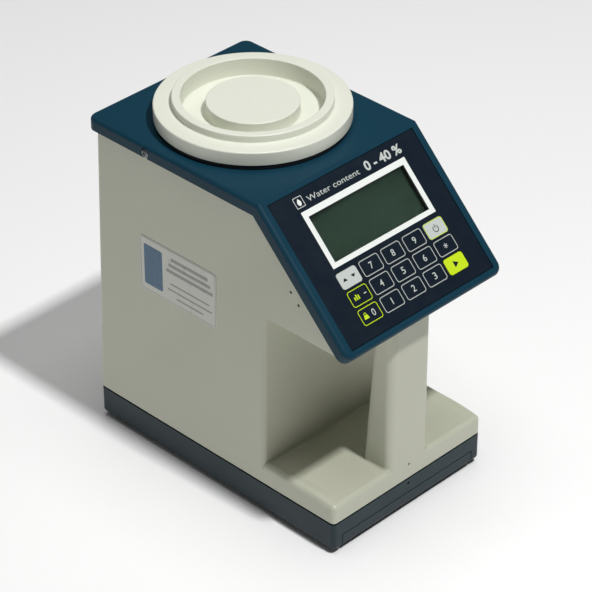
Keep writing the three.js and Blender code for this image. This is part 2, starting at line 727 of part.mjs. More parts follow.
// ---- Measuring cell, in the cell's own frame ----
function cellCollar() {
  const flangeBottom = COVER_TOP + GAP;
  const flangeTop = flangeBottom + COLLAR_FLANGE;
  const neckBottom = skirtBottom;
  const profile = [
    [COLLAR_BORE, neckBottom],
    [COLLAR_NECK, neckBottom],
    [COLLAR_NECK, flangeBottom],
    [COLLAR_RADIUS, flangeBottom],
    [COLLAR_RADIUS, flangeTop],
    [COLLAR_BORE + 1.5, flangeTop],
    [COLLAR_BORE, flangeTop - 1.5],
    [COLLAR_LIP, COVER_TOP - 1],
    [COLLAR_LIP, COVER_TOP - 3],
    [COLLAR_BORE, COVER_TOP - 3],
  ];
  return turned(profile, 40);
}

function outerElectrode() {
  const [low, high] = [cellFloorTop + GAP, cellRim];
  return turned([[CELL_RADIUS, low], [cellOuter, low], [cellOuter, high], [CELL_RADIUS, high]], 40);
}

function cellFloor() {
  const disc = cylinder(cellOuter, cellFloorTop - CELL_FLOOR, cellFloorTop, 40);
  const probeHole = cylinder(PROBE_RADIUS + GAP, cellFloorTop - CELL_FLOOR - CUT, cellFloorTop + CUT, 10);
  return cut(disc, probeHole.translate((CORE_RADIUS + CELL_RADIUS) / 2, 0, 0));
}

function centreElectrode() {
  const [low, high] = [cellFloorTop + GAP, coreTop];
  return turned([[0, low], [CORE_RADIUS, low], [CORE_RADIUS, high], [0, high]], 32);
}

function electrodeCap() {
  const low = coreTop + GAP;
  const profile = [
    [0, low],
    [CORE_RADIUS, low],
    [CORE_RADIUS * 0.8, low + 5],
    [CORE_RADIUS * 0.4, low + 8.5],
    [0, low + 9.5],
  ];
  return turned(profile, 32);
}

function temperatureProbe() {
  const low = cellFloorTop - CELL_FLOOR;
  const profile = [
    [0, low],
    [PROBE_RADIUS, low],
    [PROBE_RADIUS, cellFloorTop + PROBE_HEIGHT - 1],
    [PROBE_RADIUS / 2, cellFloorTop + PROBE_HEIGHT],
    [0, cellFloorTop + PROBE_HEIGHT],
  ];
  return turned(profile, 10).translate((CORE_RADIUS + CELL_RADIUS) / 2, 0, 0);
}

function cellCarrier() {
  const top = cellFloorTop - CELL_FLOOR - GAP;
  const stemBottom = loadCellTop + GAP;
  const dish = 3;
  const profile = [
    [0, stemBottom],
    [CARRIER_STEM / 1.5, stemBottom],
    [CARRIER_STEM / 1.5, top - dish - CARRIER_STEM],
    [CARRIER_STEM * 1.6, top - dish],
    [cellOuter, top - dish],
    [cellOuter, top],
    [0, top],
  ];
  return turned(profile, 32);
}

function loadCell() {
  const half = LOAD_CELL_SIZE / 2;
  const [front, back] = [loadCellFront - cellY, loadCellFront - cellY + LOAD_CELL_LENGTH];
  const bar = box(-half, half, front, back, LOAD_CELL_BOTTOM, loadCellTop);
  const [mid, z, spread] = [(front + back) / 2, (LOAD_CELL_BOTTOM + loadCellTop) / 2, 8];
  const holes = [-spread, spread].map((step) =>
    alongX(cylinder(LOAD_CELL_HOLE, -half - CUT, half + CUT, 14), 1).translate(0, mid + step, z),
  );
  const slot = box(-half - CUT, half + CUT, mid - spread, mid + spread, z - 1, z + 1);
  return cut(bar, ...holes, slot);
}

function loadCellBlock() {
  const half = LOAD_CELL_SIZE / 2;
  const back = loadCellFront - cellY + LOAD_CELL_LENGTH;
  const low = CHASSIS_BOTTOM + CHASSIS_SHEET + GAP;
  return box(-half, half, back - 22, back, low, LOAD_CELL_BOTTOM - GAP);
}

function chassisPlate() {
  const half = bodyInner - CHASSIS_MARGIN;
  const front = recessBack + WALL + CHASSIS_MARGIN - cellY;
  const back = bodyBack - WALL - CHASSIS_MARGIN - cellY;
  const plate = box(-half, half, front, back, CHASSIS_BOTTOM, CHASSIS_BOTTOM + CHASSIS_SHEET);
  const legTop = CHASSIS_BOTTOM + CHASSIS_SHEET;
  const legs = [-1, 1].map((side) => {
    const [x0, x1] = side > 0 ? [half - CHASSIS_SHEET, half] : [-half, CHASSIS_SHEET - half];
    return box(x0, x1, front + 20, back - 25, FOOT_HEIGHT + BASE_FLOOR + GAP, legTop);
  });
  return join(plate, ...legs);
}

function mainBoard() {
  const half = bodyInner - MAIN_BOARD_MARGIN;
  const front = recessBack + MAIN_BOARD_MARGIN;
  const back = screwRows[1] - BOSS_RADIUS - GAP;
  const top = MAIN_BOARD_BOTTOM + BOARD_THICKNESS;
  const plate = box(-half, half, front, back, MAIN_BOARD_BOTTOM, top);
  const processor = box(-9, 9, front + 30, front + 48, top - 0.1, top + 2.5);
  const regulator = box(16, 30, front + 12, front + 22, top - 0.1, top + 6);
  const capacitor = cylinder(4, top - 0.1, top + 9, 12).translate(-25, front + 16, 0);
  const header = box(-RIBBON_WIDTH / 2, RIBBON_WIDTH / 2, front + 3, front + 7, top - 0.1, top + 5);
  return join(plate, processor, regulator, capacitor, header);
}

// ---- Lid ----
function cellLid() {
  const level = (height) => COVER_TOP + height;
  const [ring, dish] = [LID_RING_INNER + LID_SHELL, LID_DISH_TOP - LID_SHELL];
  const profile = [
    [0, level(LID_DISC_TOP)],
    [0, level(LID_DISC_TOP - LID_SHELL)],
    [LID_DISC_RADIUS - LID_SHELL, level(LID_DISC_TOP - LID_SHELL)],
    [LID_DISC_RADIUS - LID_SHELL, level(dish)],
    [ring, level(dish)],
    [ring, level(LID_FLANGE_TOP - LID_SHELL)],
    [LID_RADIUS - LID_SHELL, level(LID_FLANGE_TOP - LID_SHELL)],
    [LID_RADIUS - LID_SHELL, level(LID_FLANGE_BOTTOM)],
    [LID_RADIUS, level(LID_FLANGE_BOTTOM)],
    [LID_RADIUS, level(LID_FLANGE_TOP)],
    [LID_RING_OUTER, level(LID_FLANGE_TOP)],
    [LID_RING_OUTER, level(LID_RING_TOP)],
    [LID_RING_INNER, level(LID_RING_TOP)],
    [LID_RING_INNER, level(LID_DISH_TOP)],
    [LID_DISC_RADIUS, level(LID_DISH_TOP)],
    [LID_DISC_RADIUS, level(LID_DISC_TOP)],
    [0, level(LID_DISC_TOP)],
  ];
  return turned(profile.slice(1), 48);
}

// ---- Jack, label and ribbon ----
// The middle of the jack's hole in the outer face of the body's back wall.
function jackPlace() {
  return [bodyHalf - JACK_TO_SIDE, bodyBack + BACK_DRAFT * draftShare(JACK_HEIGHT), JACK_HEIGHT];
}

function dataJack() {
  const profile = [
    [JACK_BORE, -JACK_LENGTH],
    [JACK_RADIUS + 2, -JACK_LENGTH],
    [JACK_RADIUS + 2, -WALL - GAP],
    [JACK_RADIUS, -WALL - GAP],
    [JACK_RADIUS, 1],
    [JACK_BORE, 1],
  ];
  const piece = turned(profile, 16).rotateX(-Math.PI / 2);
  return piece.translate(...jackPlace());
}

function sideLabel() {
  const [w, h] = [LABEL_WIDTH / 2, LABEL_HEIGHT / 2];
  const sheet = prism(roundedRect(-w, w, -h, h, 2), 0, LABEL_SHEET, 4);
  const turn = new THREE.Matrix4().set(0, 0, -1, 0, -1, 0, 0, 0, 0, 1, 0, 0, 0, 0, 0, 1);
  const wall = -bodyHalf - SIDE_DRAFT * draftShare(LABEL_Z);
  const lean = Math.atan(SIDE_DRAFT / (bodyTop - bodyBottom));
  return sheet.applyMatrix4(turn).rotateY(lean).translate(wall - LABEL_AIR, LABEL_Y, LABEL_Z);
}

// The flat cable from the main board up to the display board, as a folded strip.
function ribbon() {
  const half = RIBBON_WIDTH / 2;
  const low = MAIN_BOARD_BOTTOM + BOARD_THICKNESS + 5 + GAP;
  const front = recessBack + MAIN_BOARD_MARGIN + 3;
  const wall = recessBack + WALL + 2;
  const [boardY, boardZ] = onSlope(40, DISPLAY_BOARD_DROP + BOARD_THICKNESS + GAP);
  const t = RIBBON_SHEET;
  const outline = [
    [wall, low],
    [front + 4, low],
    [front + 4, low + t],
    [wall + t, low + t],
    [wall + t, boardZ - 3],
    [boardY + t, boardZ - 3],
    [boardY + t, boardZ - t],
    [boardY, boardZ - t],
    [boardY, boardZ - 3 - t],
    [wall, boardZ - 3 - t],
  ];
  return sidePrism(outline, half);
}

// ---- Assembly ----
addPiece(meter, "base_tray", baseTray(), slate);
addPiece(meter, "battery_door", batteryDoor(), slate);
[
  ["foot_front_left", -1, screwRows[0]],
  ["foot_front_right", 1, screwRows[0]],
  ["foot_back_left", -1, screwRows[1]],
  ["foot_back_right", 1, screwRows[1]],
].forEach(([name, side, y]) => {
  addPiece(meter, name, foot(), rubber, [side * (bodyHalf - FOOT_SIDE_INSET), y, 0]);
});

const batteryRows = [bayFront + GAP + batteryPitch / 2, bayBack - GAP - batteryPitch / 2];
batteryRows.forEach((y, row) => {
  const shift = (row === 0 ? 1 : -1) * ((CONTACT_SPRING - CONTACT_SPRING / 2) / 2);
  [-1, 1].forEach((side) => {
    const cellBody = alongX(battery(), row === 0 ? 1 : -1);
    const x = shift + (side * (BATTERY_LENGTH + GAP)) / 2;
    const name = `battery_${2 * row + (side > 0 ? 2 : 1)}`;
    addPiece(meter, name, cellBody, batterySleeve, [x, y, batteryZ]);
  });
});
const [frontRow, backRow] = batteryRows;
const linkRows = [
  { y: frontRow, spring: false },
  { y: backRow, spring: true },
];
addPiece(meter, "contact_link", contact(linkRows, -1), springSteel);
addPiece(meter, "contact_positive", contact([{ y: frontRow, spring: false }], 1), springSteel);
addPiece(meter, "contact_negative", contact([{ y: backRow, spring: true }], 1), springSteel);

["left", "right"].forEach((where, side) => {
  ["front", "back"].forEach((end, row) => {
    const place = [side === 0 ? -bossX : bossX, screwRows[row], 0];
    addPiece(meter, `base_screw_${end}_${where}`, baseScrew(), steel, place);
  });
});
addPiece(meter, "body_shell", bodyShell(), cream);
addPiece(meter, "top_cover", topCover(), navy);
addPiece(meter, "cover_screw_left", coverScrew(-1), steel);
addPiece(meter, "cover_screw_right", coverScrew(1), steel);
addPiece(meter, "buzzer", buzzer(), black);
addPiece(meter, "data_jack", dataJack(), black);
addPiece(meter, "side_label", sideLabel(), labelFilm);
addPiece(meter, "main_board", mainBoard(), boardGreen);
addPiece(meter, "ribbon_cable", ribbon(), labelFilm);

addPiece(slope, "keypad_overlay", keypadOverlay(), overlayNavy);
addPiece(slope, "keypad_circuit", keypadCircuit(), labelFilm);
addPiece(slope, "display_window", windowRect(0, -overlayBottomFace, -OVERLAY_SINK), clear);
addPiece(slope, "display_shroud", displayShroud(), black);
const lcd = windowRect(LCD_MARGIN, -lcdTopFace - LCD_THICKNESS, -lcdTopFace);
addPiece(slope, "lcd_module", lcd, lcdGlass);
addPiece(slope, "display_board", displayBoard(), boardGreen);
const keyColors = { select: keyWhite, power: keyWhite, measure: keyGreen };
keyPlaces().forEach(({ name, x, y }) => {
  const pad = prism(keyOutline(0), -overlayBottomFace, -OVERLAY_SINK, 2);
  addPiece(slope, `key_${name}`, pad, keyColors[name] ?? overlayNavy, [x, y, 0]);
});

addPiece(cell, "cell_collar", cellCollar(), black);
addPiece(cell, "outer_electrode", outerElectrode(), aluminium);
addPiece(cell, "cell_floor", cellFloor(), black);
addPiece(cell, "centre_electrode", centreElectrode(), aluminium);
addPiece(cell, "electrode_cap", electrodeCap(), black);
addPiece(cell, "temperature_probe", temperatureProbe(), steel);
addPiece(cell, "cell_carrier", cellCarrier(), aluminium);
addPiece(cell, "load_cell", loadCell(), aluminium);
addPiece(cell, "load_cell_block", loadCellBlock(), steel);
addPiece(cell, "chassis_plate", chassisPlate(), steel);
addPiece(cell, "cell_lid", cellLid(), lidCream);

export default meter;
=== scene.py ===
import json
import math

import bmesh
import bpy
from mathutils import Matrix, Vector


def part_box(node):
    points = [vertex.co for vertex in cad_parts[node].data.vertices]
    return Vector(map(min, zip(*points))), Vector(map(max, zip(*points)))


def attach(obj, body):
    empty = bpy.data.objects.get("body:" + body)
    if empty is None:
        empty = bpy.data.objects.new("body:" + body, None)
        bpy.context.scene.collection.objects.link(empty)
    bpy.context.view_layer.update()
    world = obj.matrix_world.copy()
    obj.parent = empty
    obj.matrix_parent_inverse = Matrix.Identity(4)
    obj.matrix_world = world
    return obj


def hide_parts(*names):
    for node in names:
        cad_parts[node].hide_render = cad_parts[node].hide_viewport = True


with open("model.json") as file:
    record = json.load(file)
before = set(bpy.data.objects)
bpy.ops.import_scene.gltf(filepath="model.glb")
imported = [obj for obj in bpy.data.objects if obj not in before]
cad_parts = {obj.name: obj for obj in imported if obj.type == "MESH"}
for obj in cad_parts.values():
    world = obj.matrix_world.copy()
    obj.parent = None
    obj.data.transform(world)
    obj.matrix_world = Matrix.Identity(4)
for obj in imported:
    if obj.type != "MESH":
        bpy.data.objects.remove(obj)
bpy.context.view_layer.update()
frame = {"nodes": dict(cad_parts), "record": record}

# Sizes are in metres. Places come from the CAD nodes' boxes.
MM = 0.001
HAIR = 0.004 * MM  # how far an envelope stands off the flat faces it leaves whole
CUT = 10 * MM  # how far a cutting shape runs past a face
FAR = 100 * MM  # well past the meter's own faces
SHEET = 0.6 * MM  # overlay and key film
INK = 0.05 * MM  # printed marks stand this proud of the film
SLOPE = math.radians(45)

# The camera stands front left and above, and looks down a little past the middle of the meter.
CAMERA_AT = (-0.9862, -0.96865, 1.0404)
CAMERA_ALONG = (0.5910, 0.5800, -0.5605)
CAMERA_LENS = 175.47
CAMERA_SENSOR = 36.0


# ---------------------------------------------------------------- nodes of materials
class Shader:
    """A material with a Principled shader and short calls to add and link nodes."""

    def __init__(self, name):
        self.material = bpy.data.materials.new(name)
        self.material.use_nodes = True
        self.tree = self.material.node_tree
        self.principled = self.tree.nodes["Principled BSDF"]
        self.coords = self.add("ShaderNodeTexCoord").outputs["Object"]

    def add(self, kind, **settings):
        node = self.tree.nodes.new(kind)
        for key, value in settings.items():
            setattr(node, key, value)
        return node

    def link(self, out, into):
        self.tree.links.new(out, into)

    def put(self, socket, value):
        """Sets a socket of the Principled shader to a number, or links it to an output."""
        target = self.principled.inputs[socket]
        if isinstance(value, bpy.types.NodeSocket):
            self.link(value, target)
        else:
            target.default_value = value

    def noise(self, scale, detail=2.0, rough=0.5, stretch=None):
        node = self.add("ShaderNodeTexNoise")
        node.inputs["Scale"].default_value = scale
        node.inputs["Detail"].default_value = detail
        node.inputs["Roughness"].default_value = rough
        if stretch:
            mapping = self.add("ShaderNodeMapping")
            mapping.inputs["Scale"].default_value = stretch
            self.link(self.coords, mapping.inputs["Vector"])
            self.link(mapping.outputs["Vector"], node.inputs["Vector"])
        else:
            self.link(self.coords, node.inputs["Vector"])
        return node.outputs["Fac"]

    def ranged(self, value, low_in, high_in, low, high):
        node = self.add("ShaderNodeMapRange")
        node.inputs["From Min"].default_value = low_in
        node.inputs["From Max"].default_value = high_in
        node.inputs["To Min"].default_value = low
        node.inputs["To Max"].default_value = high
        self.link(value, node.inputs["Value"])
        return node.outputs["Result"]

    def mixed(self, factor, first, second):
        node = self.add("ShaderNodeMix", data_type="RGBA")
        self.link(factor, node.inputs["Factor"])
        for socket, value in ((node.inputs[6], first), (node.inputs[7], second)):
            if isinstance(value, bpy.types.NodeSocket):
                self.link(value, socket)
            else:
                socket.default_value = (*value, 1.0)
        return node.outputs[2]

    def bump(self, height, distance, strength=1.0, under=None):
        node = self.add("ShaderNodeBump")
        node.inputs["Strength"].default_value = strength
        node.inputs["Distance"].default_value = distance
        self.link(height, node.inputs["Height"])
        if under is not None:
            self.link(under, node.inputs["Normal"])
        return node.outputs["Normal"]


def shaded(color, share):
    """The colour made lighter or darker by a share."""
    return tuple(min(1.0, c * (1 + share)) for c in color)


def moulded_plastic(name, color, rough, cloud=0.03, edge_highlight=0.10, shine=0.5):
    """Injection-moulded plastic: fine spark-eroded grain, slow flow clouding and a painted highlight on sharp
    edges.
    """
    s = Shader(name)
    clouding = s.noise(14, 3.0, 0.55)
    base = s.mixed(clouding, shaded(color, -cloud), shaded(color, cloud))
    specks = s.ranged(s.noise(900, 0.0), 0.80, 0.84, 0.0, 0.35)
    base = s.mixed(specks, base, shaded(color, -0.35))
    # Painted highlight: sharp convex edges, where pointiness is high, are lightened towards a much lighter
    # copy of the colour.
    edge = s.add("ShaderNodeNewGeometry").outputs["Pointiness"]
    painted_edge_highlight = s.ranged(edge, 0.52, 0.60, 0.0, edge_highlight)
    base = s.mixed(painted_edge_highlight, base, shaded(color, 0.9))
    s.put("Base Color", base)
    s.put("Roughness", s.ranged(s.noise(45, 4.0, 0.6), 0.3, 0.7, rough - 0.05, rough + 0.05))
    s.put("Specular IOR Level", shine)
    fine = s.bump(s.noise(1 / (0.35 * MM), 2.0, 0.6), 0.006 * MM, 0.6)
    s.put("Normal", s.bump(s.noise(22, 1.0), 0.03 * MM, 0.25, fine))
    return s.material


def printed_film(name, color, rough, cloud=0.04, shine=0.5):
    """Screen-printed polyester film with a fine velvet grain."""
    s = Shader(name)
    tint = s.mixed(s.noise(30, 3.0), shaded(color, -cloud), shaded(color, cloud))
    s.put("Base Color", tint)
    s.put("Roughness", s.ranged(s.noise(120, 3.0), 0.3, 0.7, rough - 0.05, rough + 0.06))
    s.put("Specular IOR Level", shine)
    s.put("Normal", s.bump(s.noise(1 / (0.18 * MM), 1.0), 0.003 * MM, 0.5))
    return s.material


def soft_rubber(name):
    s = Shader(name)
    s.put("Base Color", s.mixed(s.noise(200, 4.0), (0.008, 0.008, 0.009), (0.018, 0.018, 0.019)))
    s.put("Roughness", s.ranged(s.noise(300, 3.0), 0.3, 0.7, 0.75, 0.92))
    s.put("Normal", s.bump(s.noise(1 / (0.25 * MM), 3.0), 0.02 * MM, 0.6))
    return s.material


def worked_metal(name, color, rough, stretch=(1, 1, 1), scale=400):
    """Bare metal with tool marks drawn out along one direction."""
    s = Shader(name)
    marks = s.noise(scale, 4.0, 0.6, stretch)
    s.put("Base Color", s.mixed(marks, shaded(color, -0.12), shaded(color, 0.06)))
    s.put("Metallic", 1.0)
    s.put("Roughness", s.ranged(marks, 0.3, 0.7, rough - 0.08, rough + 0.10))
    s.put("Normal", s.bump(marks, 0.008 * MM, 0.5))
    return s.material


def clear_pane(name):
    """The display window: clear film with faint handling haze."""
    s = Shader(name)
    s.put("Base Color", (0.93, 0.97, 0.96, 1.0))
    s.put("Transmission Weight", 1.0)
    s.put("IOR", 1.3)
    s.put("Roughness", s.ranged(s.noise(90, 4.0), 0.35, 0.75, 0.0, 0.06))
    return s.material


def lcd_face(name):
    """A reflective display with nothing on it: grey-green, with a fine row structure."""
    s = Shader(name)
    rows = s.noise(700, 1.0, 0.5, (0.08, 1.0, 1.0))
    base = s.mixed(rows, (0.036, 0.068, 0.045), (0.043, 0.079, 0.054))
    s.put("Base Color", s.mixed(s.noise(18, 2.0), base, (0.043, 0.075, 0.055)))
    s.put("Roughness", s.ranged(s.noise(60, 2.0), 0.3, 0.7, 0.16, 0.24))
    return s.material


def circuit_board(name):
    """Green solder mask over copper tracks."""
    s = Shader(name)
    tracks = s.add("ShaderNodeTexVoronoi", feature="DISTANCE_TO_EDGE", distance="CHEBYCHEV")
    tracks.inputs["Scale"].default_value = 130
    s.link(s.coords, tracks.inputs["Vector"])
    copper = s.ranged(tracks.outputs["Distance"], 0.02, 0.05, 1.0, 0.0)
    s.put("Base Color", s.mixed(copper, (0.010, 0.085, 0.030), (0.030, 0.17, 0.06)))
    s.put("Roughness", s.ranged(s.noise(80, 2.0), 0.3, 0.7, 0.32, 0.45))
    s.put("Normal", s.bump(copper, 0.03 * MM, 0.7))
    return s.material


def battery_sleeve(name):
    """A plain shrink sleeve in two bands that run round each cell."""
    s = Shader(name)
    place = s.add("ShaderNodeSeparateXYZ")
    s.link(s.coords, place.inputs["Vector"])
    wave = s.add("ShaderNodeMath", operation="PINGPONG")
    wave.inputs[1].default_value = 50.5 * MM
    s.link(place.outputs["X"], wave.inputs[0])
    band = s.ranged(wave.outputs[0], 0.0325, 0.0330, 0.0, 1.0)
    base = s.mixed(band, (0.035, 0.045, 0.055), (0.50, 0.34, 0.12))
    s.put("Base Color", s.mixed(s.ranged(s.noise(40), 0.3, 0.7, 0.0, 0.25), base, (0.06, 0.07, 0.08)))
    s.put("Roughness", s.ranged(s.noise(60, 2.0), 0.3, 0.7, 0.22, 0.34))
    s.put("Coat Weight", 0.3)
    return s.material


def studio_floor(name):
    s = Shader(name)
    s.put("Base Color", s.mixed(s.noise(3, 2.0), (0.95, 0.95, 0.95), (0.97, 0.97, 0.97)))
    s.put("Roughness", 0.9)
    return s.material


CREAM = (0.53, 0.54, 0.435)
LID = (0.72, 0.74, 0.64)
NAVY = (0.006, 0.038, 0.063)
# Painted shade: the base tray's and battery door's colour is the cover's navy plastic made darker and greyer,
# as its sides look in shade.
NAVY_IN_SHADE = (0.014, 0.030, 0.038)
BLACK = (0.006, 0.006, 0.007)
OVERLAY = (0.006, 0.012, 0.021)
WHITE_INK = (0.80, 0.83, 0.80)
KEY_INK = (0.52, 0.555, 0.53)
GREEN_INK = (0.55, 0.74, 0.006)
# The moulded plastics below carry a painted highlight along their sharp edges, with its strength set per
# plastic.
looks = {
    "housing_cream": moulded_plastic("cream_plastic", CREAM, 0.36),
    "lid_cream": moulded_plastic("lid_plastic", LID, 0.42, cloud=0.015),
    "cover_navy": moulded_plastic("navy_plastic", NAVY, 0.38, cloud=0.05, edge_highlight=0.05, shine=0.15),
    # The base's plastic is painted shade: a darker, greyer copy of the cover's navy.
    "base_slate": moulded_plastic("navy_plastic_in_shade", NAVY_IN_SHADE, 0.46, cloud=0.05, edge_highlight=0.04, shine=0.3),
    "overlay_navy": printed_film("overlay_film", OVERLAY, 0.34, shine=0.25),
    "key_white": printed_film("key_print", KEY_INK, 0.45, cloud=0.015),
    "key_green": printed_film("green_print", GREEN_INK, 0.45, cloud=0.02),
    "black_plastic": moulded_plastic("black_plastic", BLACK, 0.5, cloud=0.15, edge_highlight=0.02),
    "foot_rubber": soft_rubber("foot_rubber"),
    "clear_window": clear_pane("clear_window"),
    "lcd_glass": lcd_face("lcd_face"),
    "circuit_board": circuit_board("circuit_board"),
    "label_film": printed_film("label_film", (0.62, 0.63, 0.57), 0.30, cloud=0.02),
    "flex_film": printed_film("flex_film", (0.42, 0.36, 0.22), 0.35),
    "battery_sleeve": battery_sleeve("battery_sleeve"),
    "screw_steel": worked_metal("screw_steel", (0.17, 0.18, 0.19), 0.30),
    "plate_steel": worked_metal("plate_steel", (0.52, 0.53, 0.54), 0.38, (1, 12, 12), 120),
    "spring_steel": worked_metal("spring_steel", (0.70, 0.69, 0.64), 0.22),
    "aluminium": worked_metal("turned_aluminium", (0.74, 0.75, 0.76), 0.30, (0.2, 0.2, 8), 260),
}
white_line = printed_film("white_line", WHITE_INK, 0.45, cloud=0.015)
label_blue = printed_film("label_blue", (0.05, 0.13, 0.22), 0.30)
label_grey = printed_film("label_grey", (0.30, 0.31, 0.29), 0.30)


# ---------------------------------------------------------------- mesh helpers
def make_piece(name, mesh, body, slot, material=None, stands_for=()):
    """Adds a finished mesh as a piece that rides on a body and takes a slot's finish."""
    piece = bpy.data.objects.new(name, mesh)
    bpy.context.scene.collection.objects.link(piece)
    mesh.materials.clear()
    mesh.materials.append(material or looks[slot])
    weigh_normals(piece)
    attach(piece, body)
    if stands_for:
        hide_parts(*stands_for)


def mesh_from(name, build):
    """A mesh from a function that fills an empty bmesh, cleaned and with faces out."""
    bm = bmesh.new()
    build(bm)
    bmesh.ops.remove_doubles(bm, verts=bm.verts, dist=1e-7)
    bmesh.ops.recalc_face_normals(bm, faces=bm.faces)
    mesh = bpy.data.meshes.new(name)
    bm.to_mesh(mesh)
    bm.free()
    return mesh


def smooth_by_angle(mesh, degrees):
    """Smooth shading, with the edges sharper than the angle left sharp."""
    mesh.shade_smooth()
    bm = bmesh.new()
    bm.from_mesh(mesh)
    limit = math.radians(degrees)
    for edge in bm.edges:
        edge.smooth = len(edge.link_faces) == 2 and edge.calc_face_angle(0) < limit
    bm.to_mesh(mesh)
    bm.free()


def weigh_normals(piece):
    """Large flat faces keep their own normals next to small rounded ones."""
    modifier = piece.modifiers.new("flat_faces", "WEIGHTED_NORMAL")
    modifier.keep_sharp = True
    modifier.weight = 100


def outline(x0, x1, y0, y1, radii, inset, steps=10):
    """Points round a rectangle whose corners (front left, front right, back right, back left)
    have their own radii, moved inwards by inset."""
    corners = [(x0, y0, 180), (x1, y0, 270), (x1, y1, 0), (x0, y1, 90)]
    points = []
    for (x, y, start), radius in zip(corners, radii):
        cx = x + radius if x == x0 else x - radius
        cy = y + radius if y == y0 else y - radius
        for step in range(steps + 1):
            angle = math.radians(start + 90 * step / steps)
            if radius > inset:
                reach = radius - inset
                points.append((cx + reach * math.cos(angle), cy + reach * math.sin(angle)))
            else:
                dx = inset if x == x0 else -inset
                dy = inset if y == y0 else -inset
                points.append((x + dx, y + dy))
    return points


def skin_sections(bm, sections):
    """Closes a solid over sections, each a loop of as many places as the one before it."""
    rows = [[bm.verts.new(place) for place in section] for section in sections]
    count = len(rows[0])
    for near, far in zip(rows, rows[1:]):
        for i in range(count):
            j = (i + 1) % count
            bm.faces.new((near[i], near[j], far[j], far[i]))
    bm.faces.new(reversed(rows[0]))
    bm.faces.new(rows[-1])


def stack_rings(bm, rings):
    """Closes a solid over level rings of equal point counts, each a (points, z) pair."""
    skin_sections(bm, [[(x, y, z) for x, y in points] for points, z in rings])


def slab_mesh(x0, x1, y0, y1, z0, z1, radii, top=0.0, bottom=0.0):
    """A slab with rounded corners and quarter-round top and bottom edges."""
    steps = 8

    def build(bm):
        rings = []
        for step in range(steps + 1 if bottom else 1):
            angle = math.pi / 2 * step / steps
            rings.append((bottom * (1 - math.sin(angle)), z0 + bottom * (1 - math.cos(angle))))
        for step in range(steps + 1 if top else 1):
            angle = math.pi / 2 * step / steps
            rings.append((top * (1 - math.cos(angle)), z1 - top * (1 - math.sin(angle))))
        stack_rings(bm, [(outline(x0, x1, y0, y1, radii, inset), z) for inset, z in rings])
        bmesh.ops.dissolve_degenerate(bm, edges=bm.edges, dist=1e-7)

    return mesh_from("slab", build)


def turned_mesh(profile, centre, steps):
    """A solid of revolution about a vertical line from closed [radius, z] points."""

    def build(bm):
        loop = [bm.verts.new((centre[0] + r, centre[1], z)) for r, z in profile]
        edges = [bm.edges.new((a, b)) for a, b in zip(loop, loop[1:] + loop[:1]) if a.co != b.co]
        bmesh.ops.spin(
            bm, geom=loop + edges, cent=(*centre, 0), axis=(0, 0, 1), angle=math.tau, steps=steps
        )
        on_axis = [v for v in bm.verts if (v.co.xy - Vector(centre)).length < 1e-7]
        bmesh.ops.remove_doubles(bm, verts=on_axis, dist=1e-6)
        bmesh.ops.remove_doubles(bm, verts=bm.verts, dist=1e-7)
        bmesh.ops.dissolve_degenerate(bm, edges=bm.edges, dist=1e-8)

    return mesh_from("turned", build)


def rounded_profile(points, radii, steps=5):
    """A [radius, z] outline with each corner replaced by an arc of its own radius."""
    result = []
    count = len(points)
    for i, radius in enumerate(radii):
        here, before, after = (Vector(points[k % count]) for k in (i, i - 1, i + 1))
        if not radius:
            result.append(tuple(here))
            continue
        first, second = (before - here).normalized(), (after - here).normalized()
        half = first.angle(second) / 2
        start = here + first * radius / math.tan(half)
        end = here + second * radius / math.tan(half)
        middle = here + (first + second).normalized() * radius / math.sin(half)
        a, b = start - middle, end - middle
        turn = a.angle_signed(b)
        for step in range(steps + 1):
            spot = a.copy()
            spot.rotate(Matrix.Rotation(-turn * step / steps, 2))
            result.append(tuple(middle + spot))
    return result


def combine(target, operation, *tools):
    """Applies exact solid booleans to an object's mesh and removes the tools."""
    for tool in tools:
        modifier = target.modifiers.new("solid", "BOOLEAN")
        modifier.operation = operation
        modifier.solver = "MANIFOLD"
        modifier.object = tool
    apply_modifiers(target)
    for tool in tools:
        bpy.data.objects.remove(tool)
    return target


def apply_modifiers(target):
    bpy.context.view_layer.update()
    graph = bpy.context.evaluated_depsgraph_get()
    made = bpy.data.meshes.new_from_object(target.evaluated_get(graph))
    target.modifiers.clear()
    target.data = made


def scratch(mesh):
    """A bare object that only carries a mesh through a boolean."""
    made = bpy.data.objects.new("scratch", mesh)
    bpy.context.scene.collection.objects.link(made)
    return made


def cad_copy(node):
    """A welded copy of a CAD node's mesh, as a scratch object."""

    def build(bm):
        bm.from_mesh(frame["nodes"][node].data)
        bmesh.ops.remove_doubles(bm, verts=bm.verts, dist=1e-6)

    return scratch(mesh_from("copy", build))


def finish_solid(target, name, body, slot, stands_for, angle=28):
    """Turns a scratch solid into a piece with clean flat faces and smooth rounds."""

    def build(bm):
        bm.from_mesh(target.data)
        bmesh.ops.remove_doubles(bm, verts=bm.verts, dist=2e-6)
        bmesh.ops.dissolve_limit(
            bm, angle_limit=math.radians(0.2), verts=bm.verts, edges=bm.edges
        )

    mesh = mesh_from(name, build)
    smooth_by_angle(mesh, angle)
    bpy.data.objects.remove(target)
    make_piece(name, mesh, body, slot, stands_for=stands_for)


def centre_of(node):
    low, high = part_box(node)
    return (low + high) / 2


# ---------------------------------------------------------------- places
shell_low, shell_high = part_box("body_shell")
cover_low, cover_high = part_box("top_cover")
base_low, base_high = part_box("base_tray")
door_low, door_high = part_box("battery_door")
lid_low, lid_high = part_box("cell_lid")
collar_low, collar_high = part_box("cell_collar")
overlay_low, overlay_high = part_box("keypad_overlay")
cell_at = centre_of("cell_lid").xy
cover_top = cover_high.z

